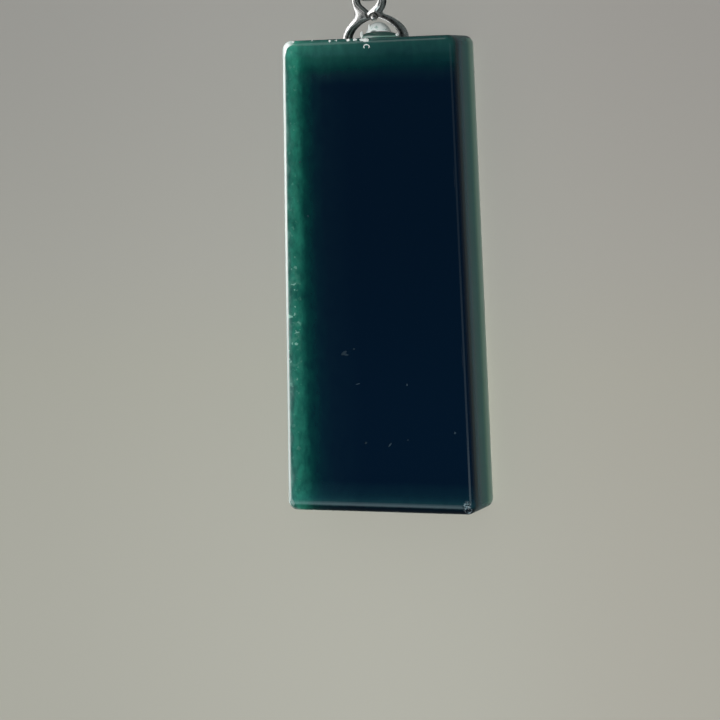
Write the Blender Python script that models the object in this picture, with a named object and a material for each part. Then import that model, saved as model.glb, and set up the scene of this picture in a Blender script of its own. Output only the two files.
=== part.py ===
"""A jade plaque pendant lying on its back: a tapered jade tablet, its silver mount and its bail.

Units are metres. The tablet's long axis runs along Y with its top towards +Y, its polished front
faces +Z and its back lies on Z = 0. The origin is under the middle of the whole object.
"""

import math

import bmesh
import bpy
import numpy as np
from mathutils import Matrix

# Jade tablet
PLAQUE_HEIGHT = 0.0450
PLAQUE_TOP_WIDTH = 0.0174
PLAQUE_BOTTOM_WIDTH = 0.0192
PLAQUE_THICKNESS = 0.0059
PLAQUE_CORNER_RADIUS = 0.0009
PLAQUE_EDGE_RADIUS = 0.00055
PLAQUE_FOOT_ROUNDING = 0.0011
PLAQUE_FACE_CORNER_SHARE = 0.25

# Silver mount: the arch that stands on the tablet's top edge
STRIP_THICKNESS = 0.00042
ARCH_DEPTH = 0.0018
ARCH_SPAN = 0.0062
ARCH_RISE = 0.00235
ARCH_FULLNESS = 1.75
ARCH_OFFSET_X = -0.00018
FOOT_SINK = 0.0004
RIM_RADIUS = 0.0001

# Silver mount: the eye above the arch, and the bead of solder on its neck
EYE_WIDTH = 0.0030
EYE_HEIGHT = 0.00265
EYE_WALL = 0.00034
EYE_DEPTH = 0.0015
EYE_OFFSET_X = -0.00075
EYE_OVERLAP = 0.0001
EYE_VEE_DEPTH = 0.0005
SHOULDER_ANGLES = (math.radians(50), math.radians(65))
SHOULDER_REACHES = (0.0015, 0.00175)
SHOULDER_MOST_SHARE = 0.9
BEAD_RADIUS = 0.00033
BEAD_OFFSET_X = 0.00075

# Bail: the loop through the eye
BAIL_LENGTH = 0.0085
BAIL_DEPTH = 0.0061
BAIL_THICKNESS = 0.00042
BAIL_FAR_WIDTH = 0.0024
BAIL_ROUNDING = 0.00012

# Boss on the tablet's top edge, under the arch
BOSS_DEPTH = 0.0028
BOSS_SHIFT_X = 0.00032

# Ridge of dried cement on the top edge, in front of the arch
RIDGE_WIDTH = 0.0040
RIDGE_HEIGHT = 0.0006
RIDGE_DEPTH = 0.0014
RIDGE_SHIFT_X = 0.00115

# Clearances between the pieces
SEAT_GAP = 0.0003
BOSS_TOP_GAP = 0.0004
BOSS_SIDE_GAP = 0.0008
EYE_GAP = 0.00055
EYE_SIDE_GAP = 0.0005

# Smoothness
CORNER_STEPS = 8
EDGE_STEPS = 6
ARC_STEPS = 36
LEG_STEPS = 12
SHOULDER_STEPS = 6
RIM_STEPS = 3
BAIL_STEPS = 72
BAIL_CORNER_STEPS = 2
BOSS_SEGMENTS = 28
BOSS_RINGS = 16
RIDGE_SEGMENTS = 28
RIDGE_RINGS = 10
BEAD_SEGMENTS = 16
BEAD_RINGS = 10

# Places that follow from the sizes
MID_Z = PLAQUE_THICKNESS / 2
ARCH_HALF = ARCH_SPAN / 2
ARCH_INNER_HALF = ARCH_HALF - STRIP_THICKNESS
ARCH_INNER_RISE = ARCH_RISE - STRIP_THICKNESS
EYE_FROM_ARCH = EYE_OFFSET_X - ARCH_OFFSET_X
EYE_ACROSS_ARCH = abs(EYE_FROM_ARCH) / ARCH_HALF
CREST = ARCH_RISE * (1 - EYE_ACROSS_ARCH ** ARCH_FULLNESS) ** (1 / ARCH_FULLNESS)
EYE_BOTTOM = CREST - EYE_OVERLAP
EYE_CENTRE = EYE_BOTTOM + EYE_HEIGHT / 2
HOLLOW_HALF_WIDTH = EYE_WIDTH / 2 - EYE_WALL
HOLLOW_TOP = EYE_BOTTOM + EYE_HEIGHT - EYE_WALL
HOLLOW_LOW = CREST + EYE_VEE_DEPTH
BAIL_START = HOLLOW_TOP - EYE_GAP - BAIL_THICKNESS
BAIL_NEAR_WIDTH = 2 * (HOLLOW_HALF_WIDTH - EYE_SIDE_GAP)
TOTAL_LENGTH = PLAQUE_HEIGHT + BAIL_START + BAIL_LENGTH
PLAQUE_TOP_Y = PLAQUE_HEIGHT - TOTAL_LENGTH / 2
PLAQUE_BOTTOM_Y = -TOTAL_LENGTH / 2


def clear_scene():
    """Remove every object of the opening scene."""
    for item in list(bpy.data.objects):
        bpy.data.objects.remove(item, do_unlink=True)


def make_material(name, colour, metallic, roughness):
    """A plain Principled material."""
    material = bpy.data.materials.new(name)
    material.use_nodes = True
    shader = material.node_tree.nodes["Principled BSDF"]
    shader.inputs["Base Color"].default_value = (*colour, 1.0)
    shader.inputs["Metallic"].default_value = metallic
    shader.inputs["Roughness"].default_value = roughness
    material.diffuse_color = (*colour, 1.0)
    return material


def make_object(name, bm, material=None, smooth_angle=math.radians(35)):
    """Turn a bmesh into an object with outward faces and smooth shading below the given angle."""
    bmesh.ops.recalc_face_normals(bm, faces=bm.faces)
    mesh = bpy.data.meshes.new(name)
    bm.to_mesh(mesh)
    bm.free()
    mesh.shade_smooth()
    mesh.set_sharp_from_angle(angle=smooth_angle)
    if material is not None:
        mesh.materials.append(material)
    item = bpy.data.objects.new(name, mesh)
    bpy.context.scene.collection.objects.link(item)
    return item


def hide_helper(item):
    """Mark an object as a tool that only shapes another one."""
    item.hide_render = True
    item.display_type = "WIRE"


def combine(target, helper, operation):
    """Add a live Boolean of the helper to the target."""
    modifier = target.modifiers.new(helper.name, "BOOLEAN")
    modifier.operation = operation
    modifier.solver = "EXACT"
    modifier.object = helper
    hide_helper(helper)


def add_loop(bm, points):
    """Add a closed ring of vertices from rows of x, y, z."""
    return [bm.verts.new(tuple(point)) for point in points]


def join_loops(bm, first, second):
    """Join two rings of the same length with quads."""
    count = len(first)
    for i in range(count):
        j = (i + 1) % count
        bm.faces.new((first[i], first[j], second[j], second[i]))


def inset_outline(outline, distance):
    """Move a closed outline inwards by a distance, with mitred corners.

    The outline runs counter-clockwise. Each point moves along the sum of its two edges' inward
    normals, divided by one plus their dot product, so that both edges move by the distance.
    """
    before = outline - np.roll(outline, 1, axis=0)
    after = np.roll(outline, -1, axis=0) - outline
    before /= np.linalg.norm(before, axis=1, keepdims=True)
    after /= np.linalg.norm(after, axis=1, keepdims=True)
    normal_before = np.column_stack((-before[:, 1], before[:, 0]))
    normal_after = np.column_stack((-after[:, 1], after[:, 0]))
    dot = np.sum(normal_before * normal_after, axis=1, keepdims=True)
    return outline + distance * (normal_before + normal_after) / (1 + dot)


def at_height(outline, z):
    """Give a flat outline a height, one value or one for each point."""
    heights = np.broadcast_to(z, len(outline))
    return np.column_stack((outline, heights))


def tablet_outline(side_inset, bottom_inset, radius):
    """The tablet's outline seen from the front, drawn in by an inset, with corners of one radius.

    It runs counter-clockwise from the bottom right corner. The sides lean by half the difference of
    the two widths over the height. Each corner is an arc about a centre that lies the inset and the
    radius inside both of its edges.
    """
    lean = math.atan2((PLAQUE_BOTTOM_WIDTH - PLAQUE_TOP_WIDTH) / 2, PLAQUE_HEIGHT)
    side_in = side_inset + radius
    bottom_in = bottom_inset + radius
    bottom_x = PLAQUE_BOTTOM_WIDTH / 2 - (side_in + bottom_in * math.sin(lean)) / math.cos(lean)
    top_x = PLAQUE_TOP_WIDTH / 2 - side_in * (1 - math.sin(lean)) / math.cos(lean)
    low_y = PLAQUE_BOTTOM_Y + bottom_in
    high_y = PLAQUE_TOP_Y - side_in
    corners = (
        (bottom_x, low_y, -math.pi / 2, lean),
        (top_x, high_y, lean, math.pi / 2),
        (-top_x, high_y, math.pi / 2, math.pi - lean),
        (-bottom_x, low_y, math.pi - lean, 3 * math.pi / 2),
    )
    arcs = []
    for centre_x, centre_y, start, end in corners:
        angle = np.linspace(start, end, CORNER_STEPS + 1)
        arc = np.column_stack((np.cos(angle), np.sin(angle)))
        arcs.append(np.array((centre_x, centre_y)) + radius * arc)
    return np.concatenate(arcs)


def build_tablet(material):
    """The tapered tablet: a flat back and front joined to the sides by quarter rounds.

    Each ring of points lies between the outer outline and the flat face's outline, by the cosine of
    an angle, while its height closes on the face by one less the sine. The rounding is circular
    along the sides and the top, and a quarter of a flat ellipse along the bottom.
    """
    outer = tablet_outline(0, 0, PLAQUE_CORNER_RADIUS)
    least_corner = PLAQUE_CORNER_RADIUS * PLAQUE_FACE_CORNER_SHARE
    face_corner = max(PLAQUE_CORNER_RADIUS - PLAQUE_EDGE_RADIUS, least_corner)
    face = tablet_outline(PLAQUE_EDGE_RADIUS, PLAQUE_FOOT_ROUNDING, face_corner)
    bm = bmesh.new()
    back_rings = []
    front_rings = []
    for angle in np.linspace(0, math.pi / 2, EDGE_STEPS + 1):
        outline = face + (outer - face) * math.cos(angle)
        height = PLAQUE_EDGE_RADIUS * (1 - math.sin(angle))
        back_rings.append(add_loop(bm, at_height(outline, height)))
        front_rings.append(add_loop(bm, at_height(outline, PLAQUE_THICKNESS - height)))
    rings = back_rings[::-1] + front_rings
    for lower, upper in zip(rings, rings[1:]):
        join_loops(bm, lower, upper)
    bm.faces.new(rings[0])
    bm.faces.new(rings[-1])
    return make_object("jade_plaque", bm, material)


def build_dome(name, centre, radii, segments, rings):
    """An ellipsoid with its poles along Y, half of which stands out of the tablet's top edge."""
    bm = bmesh.new()
    bmesh.ops.create_uvsphere(bm, u_segments=segments, v_segments=rings, radius=1.0)
    turn = Matrix.Rotation(math.pi / 2, 4, "X")
    place = Matrix.Translation(centre) @ Matrix.Diagonal((*radii, 1.0))
    bmesh.ops.transform(bm, matrix=place @ turn, verts=bm.verts)
    return make_object(name, bm)


def build_boss():
    """The polished dome under the arch.

    It fills the room between the two foot slots, less its shift to one side and a gap.
    """
    half_width = ARCH_INNER_HALF - SEAT_GAP - BOSS_SIDE_GAP - abs(BOSS_SHIFT_X)
    centre = (ARCH_OFFSET_X + BOSS_SHIFT_X, PLAQUE_TOP_Y, MID_Z)
    radii = (half_width, ARCH_INNER_RISE - BOSS_TOP_GAP, BOSS_DEPTH / 2)
    return build_dome("boss_shape", centre, radii, BOSS_SEGMENTS, BOSS_RINGS)


def build_ridge():
    """The low ridge of dried cement, clear of the front of the arch by the seat gap."""
    centre_z = MID_Z + ARCH_DEPTH / 2 + SEAT_GAP + RIDGE_DEPTH / 2
    centre = (ARCH_OFFSET_X + RIDGE_SHIFT_X, PLAQUE_TOP_Y, centre_z)
    radii = (RIDGE_WIDTH / 2, RIDGE_HEIGHT, RIDGE_DEPTH / 2)
    return build_dome("ridge_shape", centre, radii, RIDGE_SEGMENTS, RIDGE_RINGS)


def build_foot_slot(name, side):
    """The shallow slot for one foot of the arch, larger than the foot by the seat gap all round."""
    foot_x = ARCH_OFFSET_X + side * (ARCH_HALF - STRIP_THICKNESS / 2)
    depth = FOOT_SINK + SEAT_GAP
    above = depth
    bm = bmesh.new()
    bmesh.ops.create_cube(bm, size=1.0)
    size = (STRIP_THICKNESS + 2 * SEAT_GAP, depth + above, ARCH_DEPTH + 2 * SEAT_GAP)
    place = Matrix.Translation((foot_x, PLAQUE_TOP_Y + (above - depth) / 2, MID_Z))
    bmesh.ops.transform(bm, matrix=place @ Matrix.Diagonal((*size, 1.0)), verts=bm.verts)
    return make_object(name, bm)


def ellipse_arc(centre, half_width, half_height, start, end, steps):
    """Points on an ellipse between two angles counted counter-clockwise from +X."""
    angle = np.linspace(start, end, steps + 1)
    return np.column_stack((centre[0] + half_width * np.cos(angle), centre[1] + half_height * np.sin(angle)))


def bow_arc(half_width, rise, start, end, steps):
    """Points on one of the arch's outlines, a superellipse, between two angles.

    The cosine times the half width and the sine times the rise are each raised to two over the
    fullness, which is 2 for an ellipse and less for straighter legs.
    """
    angle = np.linspace(start, end, steps + 1)
    power = 2 / ARCH_FULLNESS
    across = np.sign(np.cos(angle)) * np.abs(np.cos(angle)) ** power
    up = np.abs(np.sin(angle)) ** power
    return np.column_stack((ARCH_OFFSET_X + half_width * across, PLAQUE_TOP_Y + rise * up))


def bow_way(angle):
    """The direction of the arch's outer outline at an angle: its derivative, up to a factor."""
    power = 2 / ARCH_FULLNESS - 1
    across = -ARCH_HALF * math.sin(angle) * abs(math.cos(angle)) ** power
    up = ARCH_RISE * math.cos(angle) * abs(math.sin(angle)) ** power
    return np.array((across, up))


def shoulder_curve(start, start_way, end, end_way):
    """A quadratic curve between two points whose control point is where their tangents cross."""
    matrix = np.column_stack((start_way, end_way))
    along = np.linalg.solve(matrix, end - start)[0]
    control = start + along * start_way
    t = np.linspace(0, 1, SHOULDER_STEPS + 1)[:, None]
    return (1 - t) ** 2 * start + 2 * t * (1 - t) * control + t ** 2 * end


def mount_outline():
    """The mount's outer outline seen from the front, counter-clockwise from the right foot.

    The arch is half of a superellipse with straight feet. The eye is an ellipse that rests on it,
    and a concave shoulder on each side joins the two smoothly.
    """
    eye = np.array((EYE_OFFSET_X, PLAQUE_TOP_Y + EYE_CENTRE))
    foot_y = PLAQUE_TOP_Y - FOOT_SINK
    half_w = EYE_WIDTH / 2
    half_h = EYE_HEIGHT / 2

    land = []
    for side, wanted in zip((1, -1), SHOULDER_REACHES):
        room = ARCH_HALF - side * EYE_FROM_ARCH
        reach = min(wanted, SHOULDER_MOST_SHARE * room)
        across = (EYE_FROM_ARCH + side * reach) / ARCH_HALF
        land.append(math.acos(math.copysign(abs(across) ** (ARCH_FULLNESS / 2), across)))
    leave = [-math.pi / 2 + SHOULDER_ANGLES[0], 3 * math.pi / 2 - SHOULDER_ANGLES[1]]

    right_leg = bow_arc(ARCH_HALF, ARCH_RISE, 0, land[0], LEG_STEPS)
    around_eye = ellipse_arc(eye, half_w, half_h, leave[0], leave[1], ARC_STEPS)
    left_leg = bow_arc(ARCH_HALF, ARCH_RISE, land[1], math.pi, LEG_STEPS)

    eye_way = [np.array((-half_w * math.sin(a), half_h * math.cos(a))) for a in leave]
    right_shoulder = shoulder_curve(right_leg[-1], bow_way(land[0]), around_eye[0], eye_way[0])
    left_shoulder = shoulder_curve(around_eye[-1], eye_way[1], left_leg[0], bow_way(land[1]))

    inner = bow_arc(ARCH_INNER_HALF, ARCH_INNER_RISE, math.pi, 0, ARC_STEPS)
    left_x = ARCH_OFFSET_X - ARCH_HALF
    right_x = ARCH_OFFSET_X + ARCH_HALF
    feet = [
        np.array([(left_x, foot_y), (left_x + STRIP_THICKNESS, foot_y)]),
        np.array([(right_x - STRIP_THICKNESS, foot_y), (right_x, foot_y)]),
    ]
    return np.concatenate((
        right_leg,
        right_shoulder[1:-1],
        around_eye,
        left_shoulder[1:-1],
        left_leg,
        feet[0],
        inner,
        feet[1],
    ))


def hollow_outline():
    """The eye's hollow, clockwise: an ellipse whose lower end runs into a V.

    The V's sides are the tangents to the ellipse from a point below it. They touch it at the angle
    whose cosine is the half height over the distance from the centre to that point.
    """
    half_h = (HOLLOW_TOP - HOLLOW_LOW) / 2
    centre = np.array((EYE_OFFSET_X, PLAQUE_TOP_Y + HOLLOW_LOW + half_h))
    touch = math.acos(half_h / (half_h + EYE_VEE_DEPTH))
    start = -math.pi / 2 + touch
    end = 3 * math.pi / 2 - touch
    round_part = ellipse_arc(centre, HOLLOW_HALF_WIDTH, half_h, start, end, ARC_STEPS)
    point = np.array([(EYE_OFFSET_X, PLAQUE_TOP_Y + CREST)])
    return np.concatenate((round_part, point))[::-1]


def mount_half_depth(y):
    """Half the mount's depth at a height: the arch's depth, easing to the eye's above the crest."""
    t = np.clip((y - PLAQUE_TOP_Y - CREST) / (EYE_CENTRE - CREST), 0, 1)
    ease = t * t * (3 - 2 * t)
    return (ARCH_DEPTH + (EYE_DEPTH - ARCH_DEPTH) * ease) / 2


def build_mount(material):
    """The bent strip: its outline and hollow carried through its depth, with rounded rims."""
    quarter = np.linspace(0, math.pi / 2, RIM_STEPS + 1)
    levels = [(RIM_RADIUS * (1 - math.sin(a)), -1, RIM_RADIUS * (1 - math.cos(a))) for a in quarter]
    levels += [(inset, 1, drop) for inset, _, drop in reversed(levels)]
    bm = bmesh.new()
    end_edges = {-1: [], 1: []}
    for outline in (mount_outline(), hollow_outline()):
        half_depth = mount_half_depth(outline[:, 1])
        rings = []
        for inset, side, drop in levels:
            heights = MID_Z + side * (half_depth - drop)
            rings.append(add_loop(bm, at_height(inset_outline(outline, inset), heights)))
        for lower, upper in zip(rings, rings[1:]):
            join_loops(bm, lower, upper)
        for side, ring in ((-1, rings[0]), (1, rings[-1])):
            pairs = zip(ring, ring[1:] + ring[:1])
            end_edges[side] += [bm.edges.get(pair) for pair in pairs]
    for side, edges in end_edges.items():
        bmesh.ops.triangle_fill(bm, use_beauty=True, edges=edges, normal=(0, 0, side))
    return make_object("silver_mount", bm, material)


def build_bead():
    """The bead of solder at the front of the arch's inner edge, to the right of the neck."""
    x = EYE_OFFSET_X + BEAD_OFFSET_X
    across = abs(x - ARCH_OFFSET_X) / ARCH_INNER_HALF
    y = PLAQUE_TOP_Y + ARCH_INNER_RISE * (1 - across ** ARCH_FULLNESS) ** (1 / ARCH_FULLNESS)
    z = MID_Z + ARCH_DEPTH / 2 - RIM_RADIUS
    bm = bmesh.new()
    place = Matrix.Translation((x, y, z))
    bmesh.ops.create_uvsphere(
        bm, u_segments=BEAD_SEGMENTS, v_segments=BEAD_RINGS, radius=BEAD_RADIUS, matrix=place
    )
    return make_object("bead_shape", bm)


def bail_section():
    """The bail's cross-section as rows of across, through: a rectangle with rounded corners.

    Across runs from -1 to 1 over the flat middle of the band, through from 0 inside to 1 outside.
    The rounding is kept apart, as a direction for each point.
    """
    points = BAIL_CORNER_STEPS + 1
    quarter = math.pi / 2
    angle = np.concatenate([np.linspace(a, a + quarter, points) for a in np.arange(4) * quarter])
    way = np.column_stack((np.cos(angle), np.sin(angle)))
    corner = np.repeat(np.array([(1, 1), (-1, 1), (-1, 0), (1, 0)]), points, axis=0)
    return corner, way


def build_bail(material):
    """The loop: a band carried round an ellipse in the Y-Z plane, wider away from the eye."""
    corner, way = bail_section()
    turn = np.arange(BAIL_STEPS) * 2 * math.pi / BAIL_STEPS
    centre_y = PLAQUE_TOP_Y + BAIL_START + BAIL_LENGTH / 2
    centre_z = BAIL_DEPTH / 2
    bm = bmesh.new()
    rings = []
    for t in turn:
        half_width = (BAIL_NEAR_WIDTH + (BAIL_FAR_WIDTH - BAIL_NEAR_WIDTH) * (1 - math.cos(t)) / 2) / 2
        across = corner[:, 0] * (half_width - BAIL_ROUNDING) + way[:, 0] * BAIL_ROUNDING
        through = corner[:, 1] * (BAIL_THICKNESS - 2 * BAIL_ROUNDING) + (1 + way[:, 1]) * BAIL_ROUNDING
        long_radius = BAIL_LENGTH / 2 - BAIL_THICKNESS + through
        deep_radius = BAIL_DEPTH / 2 - BAIL_THICKNESS + through
        ring = np.column_stack((
            EYE_OFFSET_X + across,
            centre_y - long_radius * math.cos(t),
            centre_z + deep_radius * math.sin(t),
        ))
        rings.append(add_loop(bm, ring))
    for first, second in zip(rings, rings[1:] + rings[:1]):
        join_loops(bm, first, second)
    return make_object("silver_bail", bm, material)


def main():
    clear_scene()
    jade = make_material("jade", (0.005, 0.040, 0.035), 0.0, 0.08)
    mount_silver = make_material("mount_silver", (0.80, 0.80, 0.78), 1.0, 0.15)
    bail_silver = make_material("bail_silver", (0.80, 0.80, 0.78), 1.0, 0.18)

    tablet = build_tablet(jade)
    combine(tablet, build_boss(), "UNION")
    combine(tablet, build_ridge(), "UNION")
    combine(tablet, build_foot_slot("slot_left", -1), "DIFFERENCE")
    combine(tablet, build_foot_slot("slot_right", 1), "DIFFERENCE")

    mount = build_mount(mount_silver)
    combine(mount, build_bead(), "UNION")

    build_bail(bail_silver)


main()
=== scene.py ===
"""Looks of the jade plaque: its polished stone, silver mount and bail, a pale floor and studio light.

Units are metres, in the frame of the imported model. The plaque lies on its back: +Y runs towards its
top edge and bail, +Z out of its polished front, +X to the right seen from the front.
"""

import math
from types import SimpleNamespace

import bmesh
import bpy
import numpy as np
from mathutils import Matrix, Vector


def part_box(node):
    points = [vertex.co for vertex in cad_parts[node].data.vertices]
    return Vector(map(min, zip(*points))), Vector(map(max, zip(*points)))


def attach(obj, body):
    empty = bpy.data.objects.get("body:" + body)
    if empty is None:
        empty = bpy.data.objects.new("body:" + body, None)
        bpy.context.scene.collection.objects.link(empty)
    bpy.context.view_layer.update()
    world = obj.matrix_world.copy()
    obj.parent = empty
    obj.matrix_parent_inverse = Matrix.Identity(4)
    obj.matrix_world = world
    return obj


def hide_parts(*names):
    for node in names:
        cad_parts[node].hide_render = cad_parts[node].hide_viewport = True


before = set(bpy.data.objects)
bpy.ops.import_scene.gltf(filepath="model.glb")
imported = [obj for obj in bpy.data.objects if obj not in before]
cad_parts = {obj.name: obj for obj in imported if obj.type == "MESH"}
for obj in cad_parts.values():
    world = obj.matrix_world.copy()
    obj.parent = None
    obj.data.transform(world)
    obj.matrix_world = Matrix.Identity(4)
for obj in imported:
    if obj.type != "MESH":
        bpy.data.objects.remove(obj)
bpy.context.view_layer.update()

MM = 0.001

# Jade tablet
PLAQUE_HEIGHT = 45.0 * MM
PLAQUE_TOP_WIDTH = 17.4 * MM
PLAQUE_BOTTOM_WIDTH = 19.2 * MM
CORNER_RADIUS = 0.9 * MM
EDGE_RADIUS = 0.55 * MM
FOOT_ROUNDING = 1.1 * MM

# The slow waves of the polished front: how fast each sine runs across and along, in radians a
# millimetre, and where it starts, then their height and the margin over which they fade in
WAVES = ((0.9, 0.35, 0.4), (-0.5, 0.31, 1.9), (0.0, 0.77, 2.6))
WAVE_HEIGHT = 0.0012 * MM
WAVE_MARGIN = 2 * MM

# Boss under the arch, and the ridge of dried cement in front of it
BOSS_DEPTH = 2.8 * MM
BOSS_SHIFT_X = 0.32 * MM
BOSS_TOP_GAP = 0.4 * MM
BOSS_SIDE_GAP = 1.1 * MM
RIDGE_WIDTH = 4.0 * MM
RIDGE_HEIGHT = 0.6 * MM
RIDGE_DEPTH = 1.4 * MM
RIDGE_SHIFT_X = 1.15 * MM
RIDGE_GAP = 0.3 * MM

# Chips at the bottom right corner of the front: across, up from the plaque's middle, down from the
# front, and size, in millimetres. A chip's centre is lifted by a share of its size, and its length
# is a multiple of it.
CHIP_LIFT = 0.6
CHIP_STRETCH = 1.5
CHIPS = (
    (8.48, -21.74, 0.02, 0.13),
    (8.86, -21.86, 0.04, 0.30),
    (8.72, -21.26, 0.00, 0.11),
    (9.06, -21.40, 0.02, 0.20),
    (8.56, -22.14, 0.15, 0.15),
    (8.96, -22.34, 0.24, 0.26),
    (9.22, -21.95, 0.20, 0.13),
)

# Silver mount
STRIP_THICKNESS = 0.42 * MM
ARCH_DEPTH = 1.8 * MM
ARCH_SPAN = 6.2 * MM
ARCH_RISE = 2.35 * MM
ARCH_FULLNESS = 1.75
ARCH_OFFSET_X = -0.18 * MM
FOOT_SINK = 0.4 * MM
EYE_WIDTH = 3.0 * MM
EYE_HEIGHT = 2.65 * MM
EYE_WALL = 0.34 * MM
EYE_DEPTH = 1.5 * MM
EYE_OFFSET_X = -0.75 * MM
EYE_OVERLAP = 0.1 * MM
EYE_VEE_DEPTH = 0.5 * MM
SHOULDER_ANGLES = (math.radians(50), math.radians(65))
SHOULDER_REACHES = (1.5 * MM, 1.75 * MM)
BEAD_RADIUS = 0.33 * MM
BEAD_OFFSET_X = 0.75 * MM
BEAD_SET_BACK = 0.1 * MM

# The mount's bevelled rims: how far each reaches in, and its slope
LEG_BEVEL = 0.28 * MM
EYE_BEVEL = 0.19 * MM
INNER_BEVEL = 0.10 * MM
HOLLOW_BEVEL = 0.12 * MM
VEE_BEVEL = 0.30 * MM
SHOULDER_BEVEL = 0.12 * MM
VEE_FULLNESS = 0.7
BEVEL_SLOPE = 0.42
BEVEL_FULLNESS = 1.25
RIB_DEPTH = 0.02 * MM

# Bail
BAIL_THICKNESS = 0.42 * MM
BAIL_NEAR_WIDTH = 1.32 * MM
BAIL_FAR_WIDTH = 2.4 * MM
BAIL_SQUARENESS = 3.4

# Fineness of the meshes
HALF_ARC_STEPS = 9
ACROSS_STEPS = 84
ALONG_STEPS = 200
ROUNDING_STEPS = 10
SIDE_STEPS = 12
LEG_STEPS = 40
SHOULDER_STEPS = 16
EYE_STEPS = 96
FLANK_STEPS = 14
INNER_STEPS = 120
FOOT_STEPS = 4
BEVEL_STEPS = 6
DEPTH_STEPS = 28
BAIL_STEPS = 240
BAIL_SECTION = 40
RING_STEPS = 40
RING_SECTION = 12
BOSS_FINENESS = (32, 64)
CHIP_FINENESS = (10, 16)
BEAD_FINENESS = (20, 32)
DROP_FINENESS = (14, 24)
FLECK_FINENESS = (6, 14)

# Angles below which an edge is shaded smooth
TABLET_SMOOTH = math.radians(32)
MOUNT_SMOOTH = math.radians(30)
ROUND_SMOOTH = math.radians(60)

# Places that follow from the frame
jade_low, jade_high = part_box("jade_plaque")
bail_low, bail_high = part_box("silver_bail")
THICKNESS = jade_high.z - jade_low.z
MID_Z = THICKNESS / 2
BOTTOM_Y = jade_low.y
TOP_Y = jade_low.y + PLAQUE_HEIGHT
CENTRE_Y = (TOP_Y + BOTTOM_Y) / 2
LEAN = math.atan2((PLAQUE_BOTTOM_WIDTH - PLAQUE_TOP_WIDTH) / 2, PLAQUE_HEIGHT)
ARCH_HALF = ARCH_SPAN / 2
ARCH_INNER_HALF = ARCH_HALF - STRIP_THICKNESS
ARCH_INNER_RISE = ARCH_RISE - STRIP_THICKNESS
EYE_FROM_ARCH = EYE_OFFSET_X - ARCH_OFFSET_X
EYE_ACROSS_ARCH = abs(EYE_FROM_ARCH) / ARCH_HALF
CREST = ARCH_RISE * (1 - EYE_ACROSS_ARCH ** ARCH_FULLNESS) ** (1 / ARCH_FULLNESS)
EYE_BOTTOM = CREST - EYE_OVERLAP
EYE_CENTRE = EYE_BOTTOM + EYE_HEIGHT / 2

# Camera, at the photograph's viewing angle
TARGET_X = -2.73 * MM
TARGET_BELOW_CENTRE = 8.17 * MM
VIEW_DISTANCE = 257.2 * MM
VIEW_AZIMUTH = math.radians(21.61)
VIEW_ELEVATION = math.radians(5.47)
VIEW_ROLL = math.radians(-1.68)
VIEW_LENS = 133.65
SENSOR_WIDTH = 36.0
NEAREST = 0.01
FARTHEST = 10.0


# Meshes

def grid_quads(index):
    """The quads of a grid of vertex numbers: each cell joins its four corners."""
    corners = (index[:-1, :-1], index[:-1, 1:], index[1:, 1:], index[1:, :-1])
    return np.stack([c.ravel() for c in corners], axis=1)


def ring_quads(rings):
    """The quads between closed rings, given as one row of vertex numbers for each ring."""
    return grid_quads(np.concatenate((rings, rings[:, :1]), axis=1))


def piece_from_bmesh(name, bm, material):
    """A mesh object at the origin from a bmesh, with outward normals."""
    bmesh.ops.recalc_face_normals(bm, faces=bm.faces)
    mesh = bpy.data.meshes.new(name)
    bm.to_mesh(mesh)
    bm.free()
    mesh.materials.append(material)
    piece = bpy.data.objects.new(name, mesh)
    bpy.context.scene.collection.objects.link(piece)
    return piece


def bmesh_from_rows(points, faces):
    """A bmesh from rows of x, y, z and arrays of faces, one array for each kind of face."""
    mesh = bpy.data.meshes.new("rows")
    mesh.from_pydata(points.tolist(), [], sum((rows.tolist() for rows in faces), []))
    bm = bmesh.new()
    bm.from_mesh(mesh)
    bpy.data.meshes.remove(mesh)
    return bm


def make_piece(name, points, faces, material):
    """A mesh object at the origin from rows of x, y, z and arrays of faces."""
    return piece_from_bmesh(name, bmesh_from_rows(points, faces), material)


def read_points(mesh):
    """A mesh's vertices as rows of x, y, z."""
    rows = np.empty(len(mesh.vertices) * 3)
    mesh.vertices.foreach_get("co", rows)
    return rows.reshape(-1, 3)


def store_polish_and_light(mesh, values):
    """Keep how bright the silver is at each vertex, for the material to read.

    The value holds its polish and its painted highlight and shade.
    """
    mesh.attributes.new("polish_and_light", "FLOAT", "POINT").data.foreach_set("value", values)


def finish_piece(piece, node, smooth_angle):
    """Shade a piece smooth below an angle, and fasten it to the frame in place of a node."""
    piece.data.shade_smooth()
    piece.data.set_sharp_from_angle(angle=smooth_angle)
    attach(piece, "root")
    if node is not None:
        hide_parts(node)


def ellipsoid(centre, radii, fineness):
    """Points and faces of an ellipsoid: latitude and longitude angles scaled by the three radii."""
    rings, segments = fineness
    latitude = np.linspace(0, math.pi, rings + 1)[1:-1, None]
    longitude = np.arange(segments)[None, :] * 2 * math.pi / segments
    shape = np.stack((
        np.sin(latitude) * np.cos(longitude),
        np.cos(latitude) * np.ones_like(longitude),
        np.sin(latitude) * np.sin(longitude),
    ), axis=2).reshape(-1, 3)
    poles = np.array([(0, 1, 0), (0, -1, 0)])
    points = np.concatenate((shape, poles)) * np.array(radii) + np.array(centre)
    index = np.arange(len(shape)).reshape(rings - 1, segments)
    faces = [ring_quads(index)]
    for pole, ring in ((len(shape), index[0]), (len(shape) + 1, index[-1])):
        faces.append(np.column_stack((np.full(segments, pole), ring, np.roll(ring, -1))))
    return points, faces


def join_shapes(target, helper, operation):
    """Carry out an exact Boolean of the helper on the target's mesh and delete the helper."""
    modifier = target.modifiers.new("join", "BOOLEAN")
    modifier.operation = operation
    modifier.solver = "EXACT"
    modifier.object = helper
    shaped = target.evaluated_get(bpy.context.evaluated_depsgraph_get())
    mesh = bpy.data.meshes.new_from_object(shaped)
    target.modifiers.clear()
    target.data = mesh
    bpy.data.objects.remove(helper, do_unlink=True)


# Jade tablet

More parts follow.
